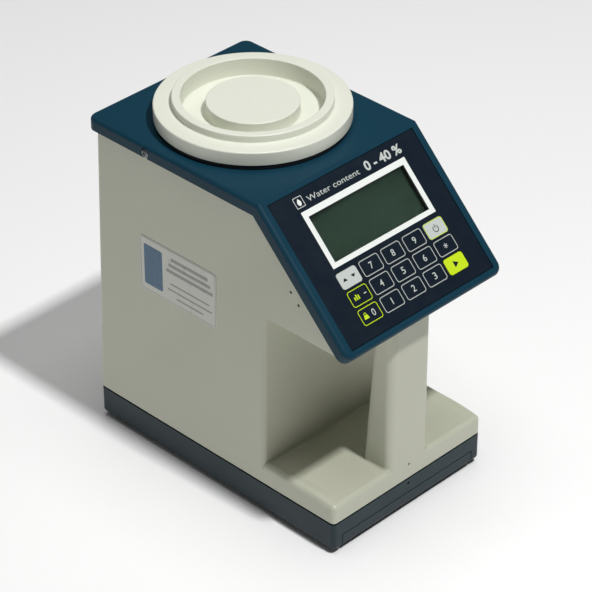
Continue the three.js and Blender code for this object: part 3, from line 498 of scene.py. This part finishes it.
# The overlay's own frame: x across, y up the slope from its middle, z out of its printed face.
overlay_turn = Matrix.Rotation(SLOPE, 4, "X")
overlay_out = overlay_turn @ Vector((0, 0, 1))
overlay_frame = Matrix.Translation(centre_of("keypad_overlay") + overlay_out * SHEET / 2) @ overlay_turn
overlay_width = overlay_high.x - overlay_low.x
overlay_length = (overlay_high.y - overlay_low.y) / math.cos(SLOPE) - SHEET


def on_overlay(node):
    """A node's middle in the overlay's own frame, as (x, y)."""
    return (overlay_frame.inverted() @ centre_of(node)).xy


def slope_size(node, thickness):
    """A flat node's width and length, where it lies in the slope's plane."""
    low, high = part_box(node)
    return high.x - low.x, (high.y - low.y) / math.cos(SLOPE) - thickness


# ---------------------------------------------------------------- body shell
RECESS_FLOOR = 12.15 * MM  # above the shell's lower edge
RECESS_BACK = 55.4 * MM  # behind the shell's front face
FLOOR_ROUND = 3.0 * MM
PLAN_ROUND = 3.0 * MM
RECESS_ROUND = 3.0 * MM
CEILING_ROUND = 0.8 * MM
FOOT_ROUND = 0.4 * MM  # along the shell's lower edge
LIP_ROOM = 2.5 * MM  # recess ceiling above the cover's lower front edge
PILLAR_HALF = 16.5 * MM
PILLAR_ROUND = 5.0 * MM
PILLAR_FOOT = 21.3 * MM
HEAD_INTO_TOWER = 12 * MM  # these three run into their neighbours, so that the envelope is one solid
PILLAR_INTO_FLOOR = 8 * MM
PILLAR_INTO_HEAD = 5 * MM
FOOT_FILLET = 2.0 * MM
FILLET_SUNK = 0.05 * MM  # how far the sweep at the pillar's foot starts under the floor
FILLET_SETBACK = 0.9 * MM  # it stops this far behind the front face, which is flush with the floor's
CORNER_FILLET = 1.2 * MM
BODY_FRONT = 11.5 * MM  # behind the cover's lip
SIDE_DRAFT = 1.0 * MM  # the body's foot stands out past its top by this much
BACK_DRAFT = 4.2 * MM
body_front = cover_low.y + BODY_FRONT
floor_z = shell_low.z + RECESS_FLOOR
recess_back = body_front + RECESS_BACK
ceiling_z = cover_low.z + LIP_ROOM
wall_half = shell_high.x - SIDE_DRAFT  # at the body's top, where there is no draft
wall_back = shell_high.y - BACK_DRAFT
wall_top = cover_top - 8.3 * MM


def drafted(mesh):
    """Leans a straight-walled mesh's sides and back outwards towards the body's foot."""
    for vertex in mesh.vertices:
        share = (wall_top - vertex.co.z) / (wall_top - shell_low.z)
        vertex.co.x *= 1 + SIDE_DRAFT / wall_half * share
        if vertex.co.y > 0:
            vertex.co.y += BACK_DRAFT * share
    return mesh


def shell_envelope():
    """The shell's outside with every rounded edge, a hair larger than its flat faces."""
    x0, x1 = -wall_half - HAIR, wall_half + HAIR
    front, back = body_front - HAIR, wall_back + HAIR
    low, high = shell_low.z - HAIR, cover_top
    plan = [PLAN_ROUND] * 4
    floor = drafted(slab_mesh(x0, x1, front, back, low, floor_z + HAIR, plan, FLOOR_ROUND, FOOT_ROUND))
    tower_radii = [RECESS_ROUND, RECESS_ROUND, PLAN_ROUND, PLAN_ROUND]
    tower = drafted(slab_mesh(x0, x1, recess_back - HAIR, back, low, high, tower_radii, 0, FOOT_ROUND))
    head = slab_mesh(
        x0, x1, cover_low.y - 3 * CUT, recess_back + HEAD_INTO_TOWER,
        ceiling_z - HAIR, high, [0] * 4, 0, CEILING_ROUND,
    )
    drafted(head)
    pillar_plan = [PILLAR_ROUND] * 4
    pillar = slab_mesh(
        -PILLAR_HALF - HAIR, PILLAR_HALF + HAIR, front, body_front + PILLAR_FOOT + PILLAR_ROUND,
        floor_z - PILLAR_INTO_FLOOR, ceiling_z + PILLAR_INTO_HEAD, pillar_plan,
    )
    return combine(scratch(floor), "UNION", scratch(tower), scratch(head), scratch(pillar))


def pillar_fillet():
    """The small sweep from the recess floor up into the pillar."""
    half, back = PILLAR_HALF - HAIR, body_front + PILLAR_FOOT - HAIR
    steps = 6

    def ring(reach):
        return outline(-half, half, body_front, back, [PILLAR_ROUND] * 4, -reach)

    rings = [(ring(FOOT_FILLET), floor_z - 1 * MM)]
    for step in range(steps + 1):
        angle = math.pi / 2 * step / steps
        height = FOOT_FILLET * (1 - math.cos(angle)) - FILLET_SUNK
        rings.append((ring(FOOT_FILLET * (1 - math.sin(angle))), floor_z + height))
    fillet = scratch(mesh_from("fillet", lambda bm: stack_rings(bm, rings)))
    room = slab_mesh(
        -4 * CUT, 4 * CUT, body_front + FILLET_SETBACK, body_front + 5 * CUT,
        floor_z - 2 * MM, floor_z + CUT, [0] * 4,
    )
    return combine(fillet, "INTERSECT", scratch(room))


def corner_fillet():
    """The quarter-round where the recess floor meets its back wall."""
    r = CORNER_FILLET
    sunk = 0.5 * MM  # into the wall and under the floor
    half = shell_high.x - RECESS_ROUND

    def build(bm):
        arc = [math.pi / 2 * step / 5 for step in range(6)]
        section = [(recess_back - r * (1 - math.sin(a)), floor_z + r * (1 - math.cos(a))) for a in arc]
        section += [(recess_back + sunk, floor_z + r), (recess_back + sunk, floor_z - sunk)]
        section += [(recess_back - r, floor_z - sunk)]
        skin_sections(bm, [[(x, y, z) for y, z in section] for x in (-half, half)])

    return scratch(mesh_from("corner", build))


# The recess lip's sections, in millimetres inwards from the wall and up from the floor: sunk
# under the floor's own rounded edge, and at its full height. Then how far behind the front
# each station stands, and its share of the full height.
LIP_SUNK = [
    (0, -3.2), (0.1, -2.3), (0.75, -1.05), (1.6, -0.4), (2.6, -0.1),
    (4.2, -0.06), (6.5, -0.06), (8.4, -0.06), (9.6, -0.06), (9.6, -3.2),
]
LIP_RAISED = [
    (0, -3.2), (0, -1.4), (0.4, -0.1), (1.2, 0.8), (2.6, 1.45),
    (4.2, 1.35), (6.5, 0.55), (8.4, 0.1), (9.6, -0.06), (9.6, -3.2),
]
LIP_STATIONS = [(3.2, 0.0), (6, 0.3), (10, 0.65), (15, 0.9), (22, 1.0)]
LIP_INSET = 0.03 * MM  # keeps the lip just inside the wall


def between(first, second, share):
    """The point a share of the way from the first to the second."""
    return [a * (1 - share) + b * share for a, b in zip(first, second)]


def recess_rim(side):
    """The low lip along the recess floor's outer edge, which keeps spilled grain in."""
    lean = (wall_top - floor_z) / (wall_top - shell_low.z)
    outer = wall_half + SIDE_DRAFT * lean - LIP_INSET
    stations = [(body_front + y * MM, share) for y, share in LIP_STATIONS]
    stations.append((recess_back + 0.3 * MM, 1.0))

    def build(bm):
        sections = []
        for y, share in stations:
            points = [between(low, high, share) for low, high in zip(LIP_SUNK, LIP_RAISED)]
            sections.append([(side * (outer - x * MM), y, floor_z + z * MM) for x, z in points])
        skin_sections(bm, sections)

    return scratch(mesh_from("rim", build))


def build_shell():
    shell = combine(cad_copy("body_shell"), "INTERSECT", shell_envelope())
    combine(shell, "UNION", pillar_fillet(), corner_fillet(), recess_rim(-1), recess_rim(1))
    finish_solid(shell, "shell", "meter", "housing_cream", ["body_shell"])


# ---------------------------------------------------------------- top cover
COVER_ROUND = 2.6 * MM
COVER_CORNER = 6.0 * MM


def cover_envelope():
    """The deck's rounded slab and the slope's rounded slab, where both hold."""
    x0, x1 = cover_low.x - HAIR, cover_high.x + HAIR
    deck_plan = [0, 0, COVER_CORNER, COVER_CORNER]
    deck = slab_mesh(
        x0, x1, cover_low.y - FAR, cover_high.y + HAIR, FAR / 2, cover_top + HAIR, deck_plan, COVER_ROUND
    )
    crease_y = cover_low.y + slope_length() * math.cos(SLOPE)
    slope_plan = [COVER_CORNER, COVER_CORNER, 0, 0]
    slope = slab_mesh(
        x0, x1, -slope_length() - HAIR, 3 * FAR, -2.5 * FAR, HAIR, slope_plan, COVER_ROUND
    )
    slope.transform(Matrix.Translation((0, crease_y, cover_top)) @ overlay_turn)
    return combine(scratch(deck), "INTERSECT", scratch(slope))


def slope_length():
    """From the crease down to the lip, from the cover's height and the skirt's depth."""
    skirt = 8.0 * MM
    return (cover_top - cover_low.z - skirt * math.cos(SLOPE)) / math.sin(SLOPE)


def build_cover():
    cover = combine(cad_copy("top_cover"), "INTERSECT", cover_envelope())
    finish_solid(cover, "cover", "meter", "cover_navy", ["top_cover"])


# ---------------------------------------------------------------- base and battery door
BASE_ROUND = 2.4 * MM
SEAM_DEPTH = 1.7 * MM  # the reveal under the body shell
SEAM_HEIGHT = 1.05 * MM
DOOR_REVEAL = 0.55 * MM
DOOR_REVEAL_DEPTH = 1.6 * MM
RIBS = 6
RIB_PITCH = 2.6 * MM
RIB_HALF = 14 * MM
RIB_DEPTH = 0.45 * MM
FIRST_RIB = 7 * MM  # behind the door's front


def base_envelope():
    return scratch(
        slab_mesh(
            base_low.x - HAIR, base_high.x + HAIR, base_low.y - HAIR, base_high.y + HAIR,
            base_low.z - HAIR, base_high.z + CUT, [PLAN_ROUND] * 4, 0, BASE_ROUND,
        )
    )


def grip_ribs():
    """A row of shallow ribs under the door, to push it with a thumb."""
    ribs = []
    for row in range(RIBS):
        y = door_low.y + FIRST_RIB + RIB_PITCH * row
        rib = slab_mesh(
            -RIB_HALF, RIB_HALF, y, y + RIB_PITCH / 2,
            door_low.z - CUT, door_low.z + RIB_DEPTH, [0.6 * MM] * 4,
        )
        ribs.append(scratch(rib))
    return ribs


def seam_groove():
    """The dark reveal round the base's top edge, where the body shell sits on it."""
    low, high = shell_low.z - SEAM_HEIGHT, shell_low.z + 0.05 * MM

    def plate(inset, z0, z1, radius):
        x0, x1 = base_low.x + inset, base_high.x - inset
        y0, y1 = base_low.y + inset, base_high.y - inset
        return scratch(slab_mesh(x0, x1, y0, y1, z0, z1, [radius] * 4))

    ring = plate(-CUT, low, high, PLAN_ROUND)
    core = plate(SEAM_DEPTH, low - CUT, high + CUT, PLAN_ROUND - SEAM_DEPTH)
    return combine(ring, "DIFFERENCE", core)


def door_reveal():
    """A wider reveal round the battery door where it shows in the base's front."""
    return scratch(
        slab_mesh(
            door_low.x - DOOR_REVEAL, door_high.x + DOOR_REVEAL,
            base_low.y - CUT, base_low.y + DOOR_REVEAL_DEPTH,
            door_low.z - CUT, door_high.z + DOOR_REVEAL, [0] * 4,
        )
    )


def build_base():
    base = combine(cad_copy("base_tray"), "INTERSECT", base_envelope())
    combine(base, "DIFFERENCE", seam_groove(), door_reveal())
    finish_solid(base, "base", "meter", "base_slate", ["base_tray"])
    door = combine(cad_copy("battery_door"), "INTERSECT", base_envelope())
    combine(door, "DIFFERENCE", *grip_ribs())
    finish_solid(door, "door", "battery_door", "base_slate", ["battery_door"])


# ---------------------------------------------------------------- lid and collar
def build_lid():
    """The lid's turned section, with a mould radius on every corner and a gate mark."""
    wall = 2.4 * MM
    disc, ring_in, ring_out = 26.8 * MM, 41.0 * MM, 46.0 * MM
    radius = (lid_high.x - lid_low.x) / 2
    top, bottom = lid_high.z, lid_low.z
    disc_top, flange_top, dish = top - 3.5 * MM, top - 4.5 * MM, top - 11.5 * MM
    flange_bottom = cover_top + 2.9 * MM
    points = [
        (0, disc_top), (disc, disc_top), (disc, dish), (ring_in, dish), (ring_in, top),
        (ring_out, top), (ring_out, flange_top), (radius, flange_top), (radius, flange_bottom),
        (radius - wall, flange_bottom), (radius - wall, flange_top - wall),
        (ring_in + wall, flange_top - wall), (ring_in + wall, bottom), (disc - wall, bottom),
        (disc - wall, disc_top - wall), (0, disc_top - wall),
    ]
    rounds = [0, 0.7, 0.9, 0.9, 0.6, 0.7, 0.5, 0.9, 0.4, 0.4, 0.6, 0.6, 0.5, 0.5, 0.6, 0]
    profile = rounded_profile(points, [r * MM for r in rounds])
    mesh = turned_mesh(profile, cell_at, 160)
    smooth_by_angle(mesh, 40)
    make_piece("lid", mesh, "lid", "lid_cream", stands_for=["cell_lid"])
    gate = turned_mesh(
        rounded_profile([(0, disc_top - 0.2 * MM), (0.9 * MM, disc_top - 0.2 * MM),
                         (0.9 * MM, disc_top + 0.25 * MM), (0, disc_top + 0.25 * MM)],
                        [0, 0, 0.2 * MM, 0]),
        cell_at, 24,
    )
    smooth_by_angle(gate, 40)
    make_piece("lid_gate_mark", gate, "lid", "lid_cream")


def build_collar():
    flange_top = collar_high.z
    radius = (collar_high.x - collar_low.x) / 2
    neck, bore, lip = 51.6 * MM, 46.0 * MM, 41.0 * MM
    flange_bottom = flange_top - 2.3 * MM
    points = [
        (bore, collar_low.z), (neck, collar_low.z), (neck, flange_bottom), (radius, flange_bottom),
        (radius, flange_top), (bore + 1.5 * MM, flange_top), (bore, flange_top - 1.5 * MM),
        (lip, cover_top - 1 * MM), (lip, cover_top - 3 * MM), (bore, cover_top - 3 * MM),
    ]
    rounds = [0.3, 0.3, 0.2, 0.4, 0.5, 0.3, 0.3, 0.4, 0.4, 0.3]
    mesh = turned_mesh(rounded_profile(points, [r * MM for r in rounds], 3), cell_at, 128)
    smooth_by_angle(mesh, 40)
    make_piece("collar", mesh, "meter", "black_plastic", stands_for=["cell_collar"])


# ---------------------------------------------------------------- printed marks and flat plates
def flat_mesh(name, loops, low, high, edge=0.0):
    """A plate from low to high over 2-D loops, inner loops being holes, with eased edges."""
    curve = bpy.data.curves.new(name, "CURVE")
    curve.dimensions = "2D"
    curve.fill_mode = "BOTH"
    curve.extrude = (high - low) / 2 - edge
    curve.bevel_depth = edge
    curve.offset = -edge
    curve.bevel_resolution = 2
    for loop in loops:
        spline = curve.splines.new("POLY")
        spline.points.add(len(loop) - 1)
        for point, (x, y) in zip(spline.points, loop):
            point.co = (x, y, 0, 1)
        spline.use_cyclic_u = True
    return curve_mesh(name, curve, (low + high) / 2)


def curve_mesh(name, curve, height):
    carrier = bpy.data.objects.new(name, curve)
    bpy.context.scene.collection.objects.link(carrier)
    bpy.context.view_layer.update()
    graph = bpy.context.evaluated_depsgraph_get()
    raw = bpy.data.meshes.new_from_object(carrier.evaluated_get(graph))
    bpy.data.objects.remove(carrier)

    def build(bm):
        bm.from_mesh(raw)
        bmesh.ops.translate(bm, verts=bm.verts, vec=(0, 0, height))

    mesh = mesh_from(name, build)
    smooth_by_angle(mesh, 35)
    return mesh


def text_mesh(name, words, height, width=0.0, weight=0.0):
    """Raised lettering about its own middle, as tall as height, and as wide as width if given."""
    font = bpy.data.curves.new(name, "FONT")
    font.body = words
    font.size = 10 * MM
    font.offset = weight
    font.extrude = INK / 2
    font.resolution_u = 4
    mesh = curve_mesh(name, font, INK / 2)
    low, high = (Vector(map(pick, zip(*(v.co for v in mesh.vertices)))) for pick in (min, max))
    middle, size = (low + high) / 2, high - low
    tall = height / size.y
    wide = width / size.x if width else tall
    mesh.transform(Matrix.Diagonal((wide, tall, 1, 1)) @ Matrix.Translation((-middle.x, -middle.y, 0)))
    return mesh


def rect(width, length, radius, steps=6, middle=(0, 0)):
    x, y = middle
    radii = [radius] * 4
    return outline(x - width / 2, x + width / 2, y - length / 2, y + length / 2, radii, 0, steps)


def ring_loops(width, length, radius, line):
    inner = max(radius - line, 0.1 * MM)
    return [rect(width, length, radius), rect(width - 2 * line, length - 2 * line, inner)]


def joined(meshes):
    """One mesh made of several."""

    def build(bm):
        for mesh in meshes:
            bm.from_mesh(mesh)

    whole = mesh_from("joined", build)
    smooth_by_angle(whole, 35)
    return whole


def moved(mesh, x, y):
    mesh.transform(Matrix.Translation((x, y, 0)))
    return mesh


def put_on_overlay(name, mesh, body, slot, middle=(0, 0), **options):
    mesh.transform(overlay_frame @ Matrix.Translation((*middle, 0)))
    make_piece(name, mesh, body, slot, **options)


# ---------------------------------------------------------------- keys
KEY_ROUND = 1.8 * MM
KEY_LINE = 0.42 * MM
DIGIT = 4.0 * MM
KEY_STYLES = {  # face slot, outline slot
    "select": ("key_white", None),
    "power": ("key_white", "key_green"),
    "average": ("overlay_navy", "key_green"),
    "unit_0": ("overlay_navy", "key_green"),
    "measure": ("key_green", None),
}


def bar(x0, x1, y0, y1):
    """A small bar of ink, in millimetres."""
    radii = [0.1 * MM] * 4
    loop = outline(x0 * MM, x1 * MM, y0 * MM, y1 * MM, radii, 0, 3)
    return flat_mesh("bar", [loop], 0, INK)


def polygon(*points):
    return flat_mesh("polygon", [[(x * MM, y * MM) for x, y in points]], 0, INK)


def arc_band(radius, line, start, end):
    """Part of a ring of ink, from the start angle to the end angle, in degrees."""
    steps = 28
    angles = [math.radians(start + (end - start) * i / steps) for i in range(steps + 1)]
    outer = [(radius * math.cos(a), radius * math.sin(a)) for a in angles]
    inner = [((radius - line) * math.cos(a), (radius - line) * math.sin(a)) for a in reversed(angles)]
    return polygon(*outer, *inner)


def digit_mark(name):
    width = 0.62 * DIGIT if name != "1" else 0
    return text_mesh("digit", name, DIGIT, width, 0.05 * MM)


def key_marks(name):
    """The printed marks on one key, each a (mesh, slot, x, y) in millimetres."""
    if name == "select":
        arrows = [polygon((-5.0, 0.5), (-1.6, 0.5), (-3.3, 2.4)), polygon((1.6, 2.2), (5.0, 2.2), (3.3, 0.3))]
        return [(joined(arrows), "overlay_navy", 0, -1.3)]
    if name == "power":
        ring_and_bar = [arc_band(2.1, 0.45, 125, 415), bar(-0.24, 0.24, 0.3, 2.6)]
        return [(joined(ring_and_bar), "overlay_navy", 0, -0.3)]
    if name == "measure":
        return [(joined([polygon((-1.6, -2.0), (2.0, 0), (-1.6, 2.0))]), "overlay_navy", 0, 0)]
    if name == "average":
        bars = [bar(-2.4, -1.5, -1.5, 0.5), bar(-0.9, 0.0, -1.5, 1.6), bar(0.6, 1.5, -1.5, 1.0)]
        return [(joined(bars), "key_green", -2.0, 0), (bar(-1.0, 1.0, -0.3, 0.3), "key_white", 4.2, 0)]
    if name == "unit_0":
        weight = [polygon((-1.9, -1.6), (1.9, -1.6), (1.2, 0.7), (-1.2, 0.7)), arc_band(0.95, 0.4, -35, 215)]
        moved(weight[1], 0, 1.2 * MM)
        return [(joined(weight), "key_green", -3.4, 0), (digit_mark("0"), "key_white", 2.6, 0)]
    if name == "star":
        spokes = [bar(-0.22, 0.22, -1.5, 1.5) for _ in range(3)]
        for turn, spoke in enumerate(spokes):
            spoke.transform(Matrix.Rotation(math.radians(60 * turn), 4, "Z"))
        return [(spoke, "key_white", 0, 0) for spoke in spokes]
    return [(digit_mark(name), "key_white", 0, 0)]


def build_key(name):
    node = "key_" + name
    middle = on_overlay(node)
    width, length = slope_size(node, SHEET)
    face, line = KEY_STYLES.get(name, ("overlay_navy", "key_white"))
    pad = flat_mesh("pad", [rect(width, length, KEY_ROUND)], -SHEET, 0, 0.08 * MM)
    put_on_overlay("pad_" + name, pad, node, face, middle, stands_for=[node])
    if line:
        inset = 0.12 * MM
        loops = ring_loops(width - 2 * inset, length - 2 * inset, KEY_ROUND - inset, KEY_LINE)
        ring = flat_mesh("line", loops, 0, INK)
        put_on_overlay("line_" + name, ring, node, line, middle)
    for index, (mark, slot, x, y) in enumerate(key_marks(name)):
        place = (middle[0] + x * MM, middle[1] + y * MM)
        put_on_overlay(f"mark_{name}_{index + 1}", mark, node, slot, place)


# ---------------------------------------------------------------- overlay and display
FRAME_SIDE, FRAME_TOP, FRAME_BOTTOM = 3.65 * MM, 4.0 * MM, 3.2 * MM


def build_overlay():
    """The printed film with its window, its key openings and the marks on it."""
    groove = 0.3 * MM
    window_at = on_overlay("display_window")
    window_w, window_l = slope_size("display_window", SHEET)
    loops = [rect(overlay_width, overlay_length, 1.0 * MM)]
    loops.append(rect(window_w + 2 * groove, window_l + 2 * groove, 0.3 * MM, 3, window_at))
    for node in frame["nodes"]:
        if node.startswith("key_"):
            width, length = slope_size(node, SHEET)
            hole = rect(width + 2 * groove, length + 2 * groove, KEY_ROUND + groove, 6, on_overlay(node))
            loops.append(hole)
    film = flat_mesh("film", loops, -SHEET, 0, 0.06 * MM)
    put_on_overlay("overlay", film, "meter", "overlay_navy", stands_for=["keypad_overlay"])
    outer_w = window_w + 2 * FRAME_SIDE
    outer_l = window_l + FRAME_TOP + FRAME_BOTTOM
    outer_at = (window_at[0], window_at[1] + (FRAME_TOP - FRAME_BOTTOM) / 2)
    border = [rect(outer_w, outer_l, 0.25 * MM, 3, outer_at)]
    border.append(rect(window_w + 2 * groove, window_l + 2 * groove, 0.2 * MM, 3, window_at))
    frame_print = flat_mesh("border", border, 0, INK)
    put_on_overlay("display_border", frame_print, "meter", "key_white", material=white_line)
    pane = flat_mesh("pane", [rect(window_w, window_l, 0.2 * MM, 3)], -SHEET, 0, 0.05 * MM)
    put_on_overlay("window", pane, "meter", "clear_window", window_at, stands_for=["display_window"])


def build_title():
    """A plain drop in a box, the measured quantity and its range, above the display."""
    top = overlay_length / 2
    box_at = (-37.7 * MM, top - 6.3 * MM)
    box = flat_mesh("box", ring_loops(6.4 * MM, 6.4 * MM, 0.4 * MM, 0.3 * MM), 0, INK)
    put_on_overlay("title_box", box, "meter", "key_white", box_at, material=white_line)
    drop = []
    for step in range(25):
        angle = math.tau * step / 25
        point = 0.5 * (1 + math.cos(angle))
        drop.append((1.5 * MM * math.sin(angle) * (1 - point**3 * 0.9), 2.1 * MM * math.cos(angle)))
    drop_print = flat_mesh("drop", [drop], 0, INK)
    put_on_overlay("title_drop", drop_print, "meter", "key_white", box_at, material=white_line)
    words = text_mesh("words", "Water content", 3.3 * MM, 41 * MM)
    put_on_overlay("title_words", words, "meter", "key_white", (-11.3 * MM, top - 6.9 * MM))
    scale = text_mesh("scale", "0 - 40 %", 5.8 * MM, 29 * MM, 0.3 * MM)
    put_on_overlay("title_range", scale, "meter", "key_white", (28.6 * MM, top - 6.4 * MM))


# ---------------------------------------------------------------- side label
# Each line's row on the label, and its length and height in millimetres. Row 3 is left empty.
LABEL_LINES = [(0, 30, 2.2), (1, 34, 2.2), (2, 38, 2.2), (4, 32, 1.1), (5, 36, 1.1), (6, 22, 1.1)]


def build_label():
    """A plain service label on the left wall: a thin border, a block and short lines."""
    low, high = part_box("side_label")
    width, height = high.y - low.y, high.z - low.z
    turn = Matrix(((0, 0, -1, 0), (-1, 0, 0, 0), (0, 1, 0, 0), (0, 0, 0, 1)))
    place = Matrix.Translation((high.x, *((low + high) / 2).yz)) @ turn
    thick = 0.15 * MM

    def put(name, mesh, x=0.0, **options):
        mesh.transform(place @ Matrix.Translation((x, 0, 0)))
        make_piece(name, mesh, "meter", "label_film", **options)

    sheet = flat_mesh("sheet", [rect(width, height, 2.0 * MM)], 0, thick, 0.04 * MM)
    put("label", sheet, stands_for=["side_label"])
    edge = ring_loops(width - 1.4 * MM, height - 1.4 * MM, 1.5 * MM, 0.3 * MM)
    put("label_border", flat_mesh("edge", edge, thick, thick + INK), material=label_grey)
    block = flat_mesh("block", [rect(15 * MM, 27 * MM, 1.2 * MM)], thick, thick + INK)
    put("label_block", block, x=-width / 2 + 11 * MM, material=label_blue)
    lines = []
    for row, length, tall in LABEL_LINES:
        line = flat_mesh("line", [rect(length * MM, tall * MM, 0.3 * MM, 2)], thick, thick + INK)
        lines.append(moved(line, 9.5 * MM, (12.0 - 4.2 * row) * MM))
    put("label_lines", joined(lines), material=label_grey)


# ---------------------------------------------------------------- screws
SCREW_SHANK = 1.4 * MM
SCREW_HEAD = 2.8 * MM
SCREW_HEAD_HEIGHT = 1.4 * MM
SCREW_RIM = 0.3 * MM  # the head's straight edge, under its dome
CROSS_HALF = 1.5 * MM
CROSS_ARM = 0.3 * MM  # half an arm's width
CROSS_DEPTH = 0.9 * MM
SCREW_TURN = 0.5  # how far the cross has been driven round, in radians
DOME_STEPS = 9


def build_cover_screw(side, node):
    """A domed head with a cross recess, cut into the CAD screw's own space."""
    low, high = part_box(node)
    outer = high.x if side > 0 else low.x
    inner = low.x if side > 0 else high.x
    length = abs(outer - inner)
    seat = length - SCREW_HEAD_HEIGHT
    points = [(0, 0), (SCREW_SHANK, 0), (SCREW_SHANK, seat), (SCREW_HEAD, seat)]
    for step in range(DOME_STEPS):
        angle = math.pi / 2 * step / DOME_STEPS
        rise = (SCREW_HEAD_HEIGHT - SCREW_RIM) * math.sin(angle)
        points.append((SCREW_HEAD * math.cos(angle), seat + SCREW_RIM + rise))
    points.append((0, length))
    body = scratch(turned_mesh(points, (0, 0), 48))
    arms = []
    for angle in (0, math.pi / 2):
        arm = slab_mesh(
            -CROSS_HALF, CROSS_HALF, -CROSS_ARM, CROSS_ARM,
            length - CROSS_DEPTH, length + 1 * MM, [0.1 * MM] * 4,
        )
        arm.transform(Matrix.Rotation(angle + SCREW_TURN, 4, "Z"))
        arms.append(scratch(arm))
    combine(body, "DIFFERENCE", *arms)
    turn = Matrix.Rotation(side * math.pi / 2, 4, "Y")
    middle = (low + high) / 2
    body.data.transform(Matrix.Translation((inner, middle.y, middle.z)) @ turn)
    name = "right" if side > 0 else "left"
    finish_solid(body, "side_screw_" + name, "meter", "screw_steel", [node], 35)


# ---------------------------------------------------------------- pieces kept from the CAD model
def dress_cad_nodes():
    """CAD nodes that keep their own shape get eased edges and their slot's material."""
    slots = {s["node"]: s["material_slot"] for s in frame["record"]["subparts"]}
    round_nodes = ("battery_", "foot_", "base_screw", "electrode", "centre_", "outer_", "cell_floor")
    for node, piece in frame["nodes"].items():
        if piece.hide_render:
            continue
        piece.data.materials.clear()
        piece.data.materials.append(looks[slots[node]])
        weld = piece.modifiers.new("weld", "WELD")
        weld.merge_threshold = 1e-6
        ease = piece.modifiers.new("ease", "BEVEL")
        ease.width = 0.25 * MM
        ease.segments = 2
        ease.limit_method = "ANGLE"
        ease.angle_limit = math.radians(50)
        ease.harden_normals = False
        smooth = piece.modifiers.new("flat_faces", "WEIGHTED_NORMAL")
        smooth.keep_sharp = False
        if node.startswith(round_nodes):
            piece.data.shade_smooth()


# ---------------------------------------------------------------- stage
LIGHTS = [  # name, place, side of its square and power in watts
    ("key", (0.0, -1.07, 2.4), 0.14, 46),  # throws the overhang's shadow into the recess
    ("overhead", (0.0, 0.1, 2.2), 1.4, 16),
    ("left_fill", (-1.6, -0.2, 0.5), 0.6, 1.0),
]
LIGHTS_AIM = (0, -0.02, 0.10)


def area_light(name, place, side, power):
    light = bpy.data.lights.new(name, "AREA")
    light.size = side
    light.energy = power
    holder = bpy.data.objects.new(name, light)
    bpy.context.scene.collection.objects.link(holder)
    holder.location = place
    holder.rotation_euler = (Vector(LIGHTS_AIM) - Vector(place)).to_track_quat("-Z", "Y").to_euler()


def build_stage():
    floor = bpy.data.objects.new("floor", slab_mesh(-6, 6, -6, 6, -0.02, 0, [0.1] * 4))
    floor.data.materials.append(studio_floor("studio_floor"))
    bpy.context.scene.collection.objects.link(floor)
    world = bpy.data.worlds.new("studio")
    world.use_nodes = True
    world.node_tree.nodes["Background"].inputs["Color"].default_value = (1, 1, 1, 1)
    world.node_tree.nodes["Background"].inputs["Strength"].default_value = 0.07
    bpy.context.scene.world = world
    bpy.context.scene.view_settings.view_transform = "Standard"
    for light in LIGHTS:
        area_light(*light)


def build_camera():
    data = bpy.data.cameras.new("camera")
    data.lens = CAMERA_LENS
    data.sensor_width = CAMERA_SENSOR
    camera = bpy.data.objects.new("camera", data)
    bpy.context.scene.collection.objects.link(camera)
    camera.location = CAMERA_AT
    camera.rotation_euler = Vector(CAMERA_ALONG).to_track_quat("-Z", "Y").to_euler()
    bpy.context.scene.camera = camera


# ---------------------------------------------------------------- everything, in order
build_camera()
build_shell()
build_cover()
build_base()
build_lid()
build_collar()
build_overlay()
build_title()
for key_node in [n for n in frame["nodes"] if n.startswith("key_")]:
    build_key(key_node.removeprefix("key_"))
build_label()
build_cover_screw(-1, "cover_screw_left")
build_cover_screw(1, "cover_screw_right")
dress_cad_nodes()
build_stage()
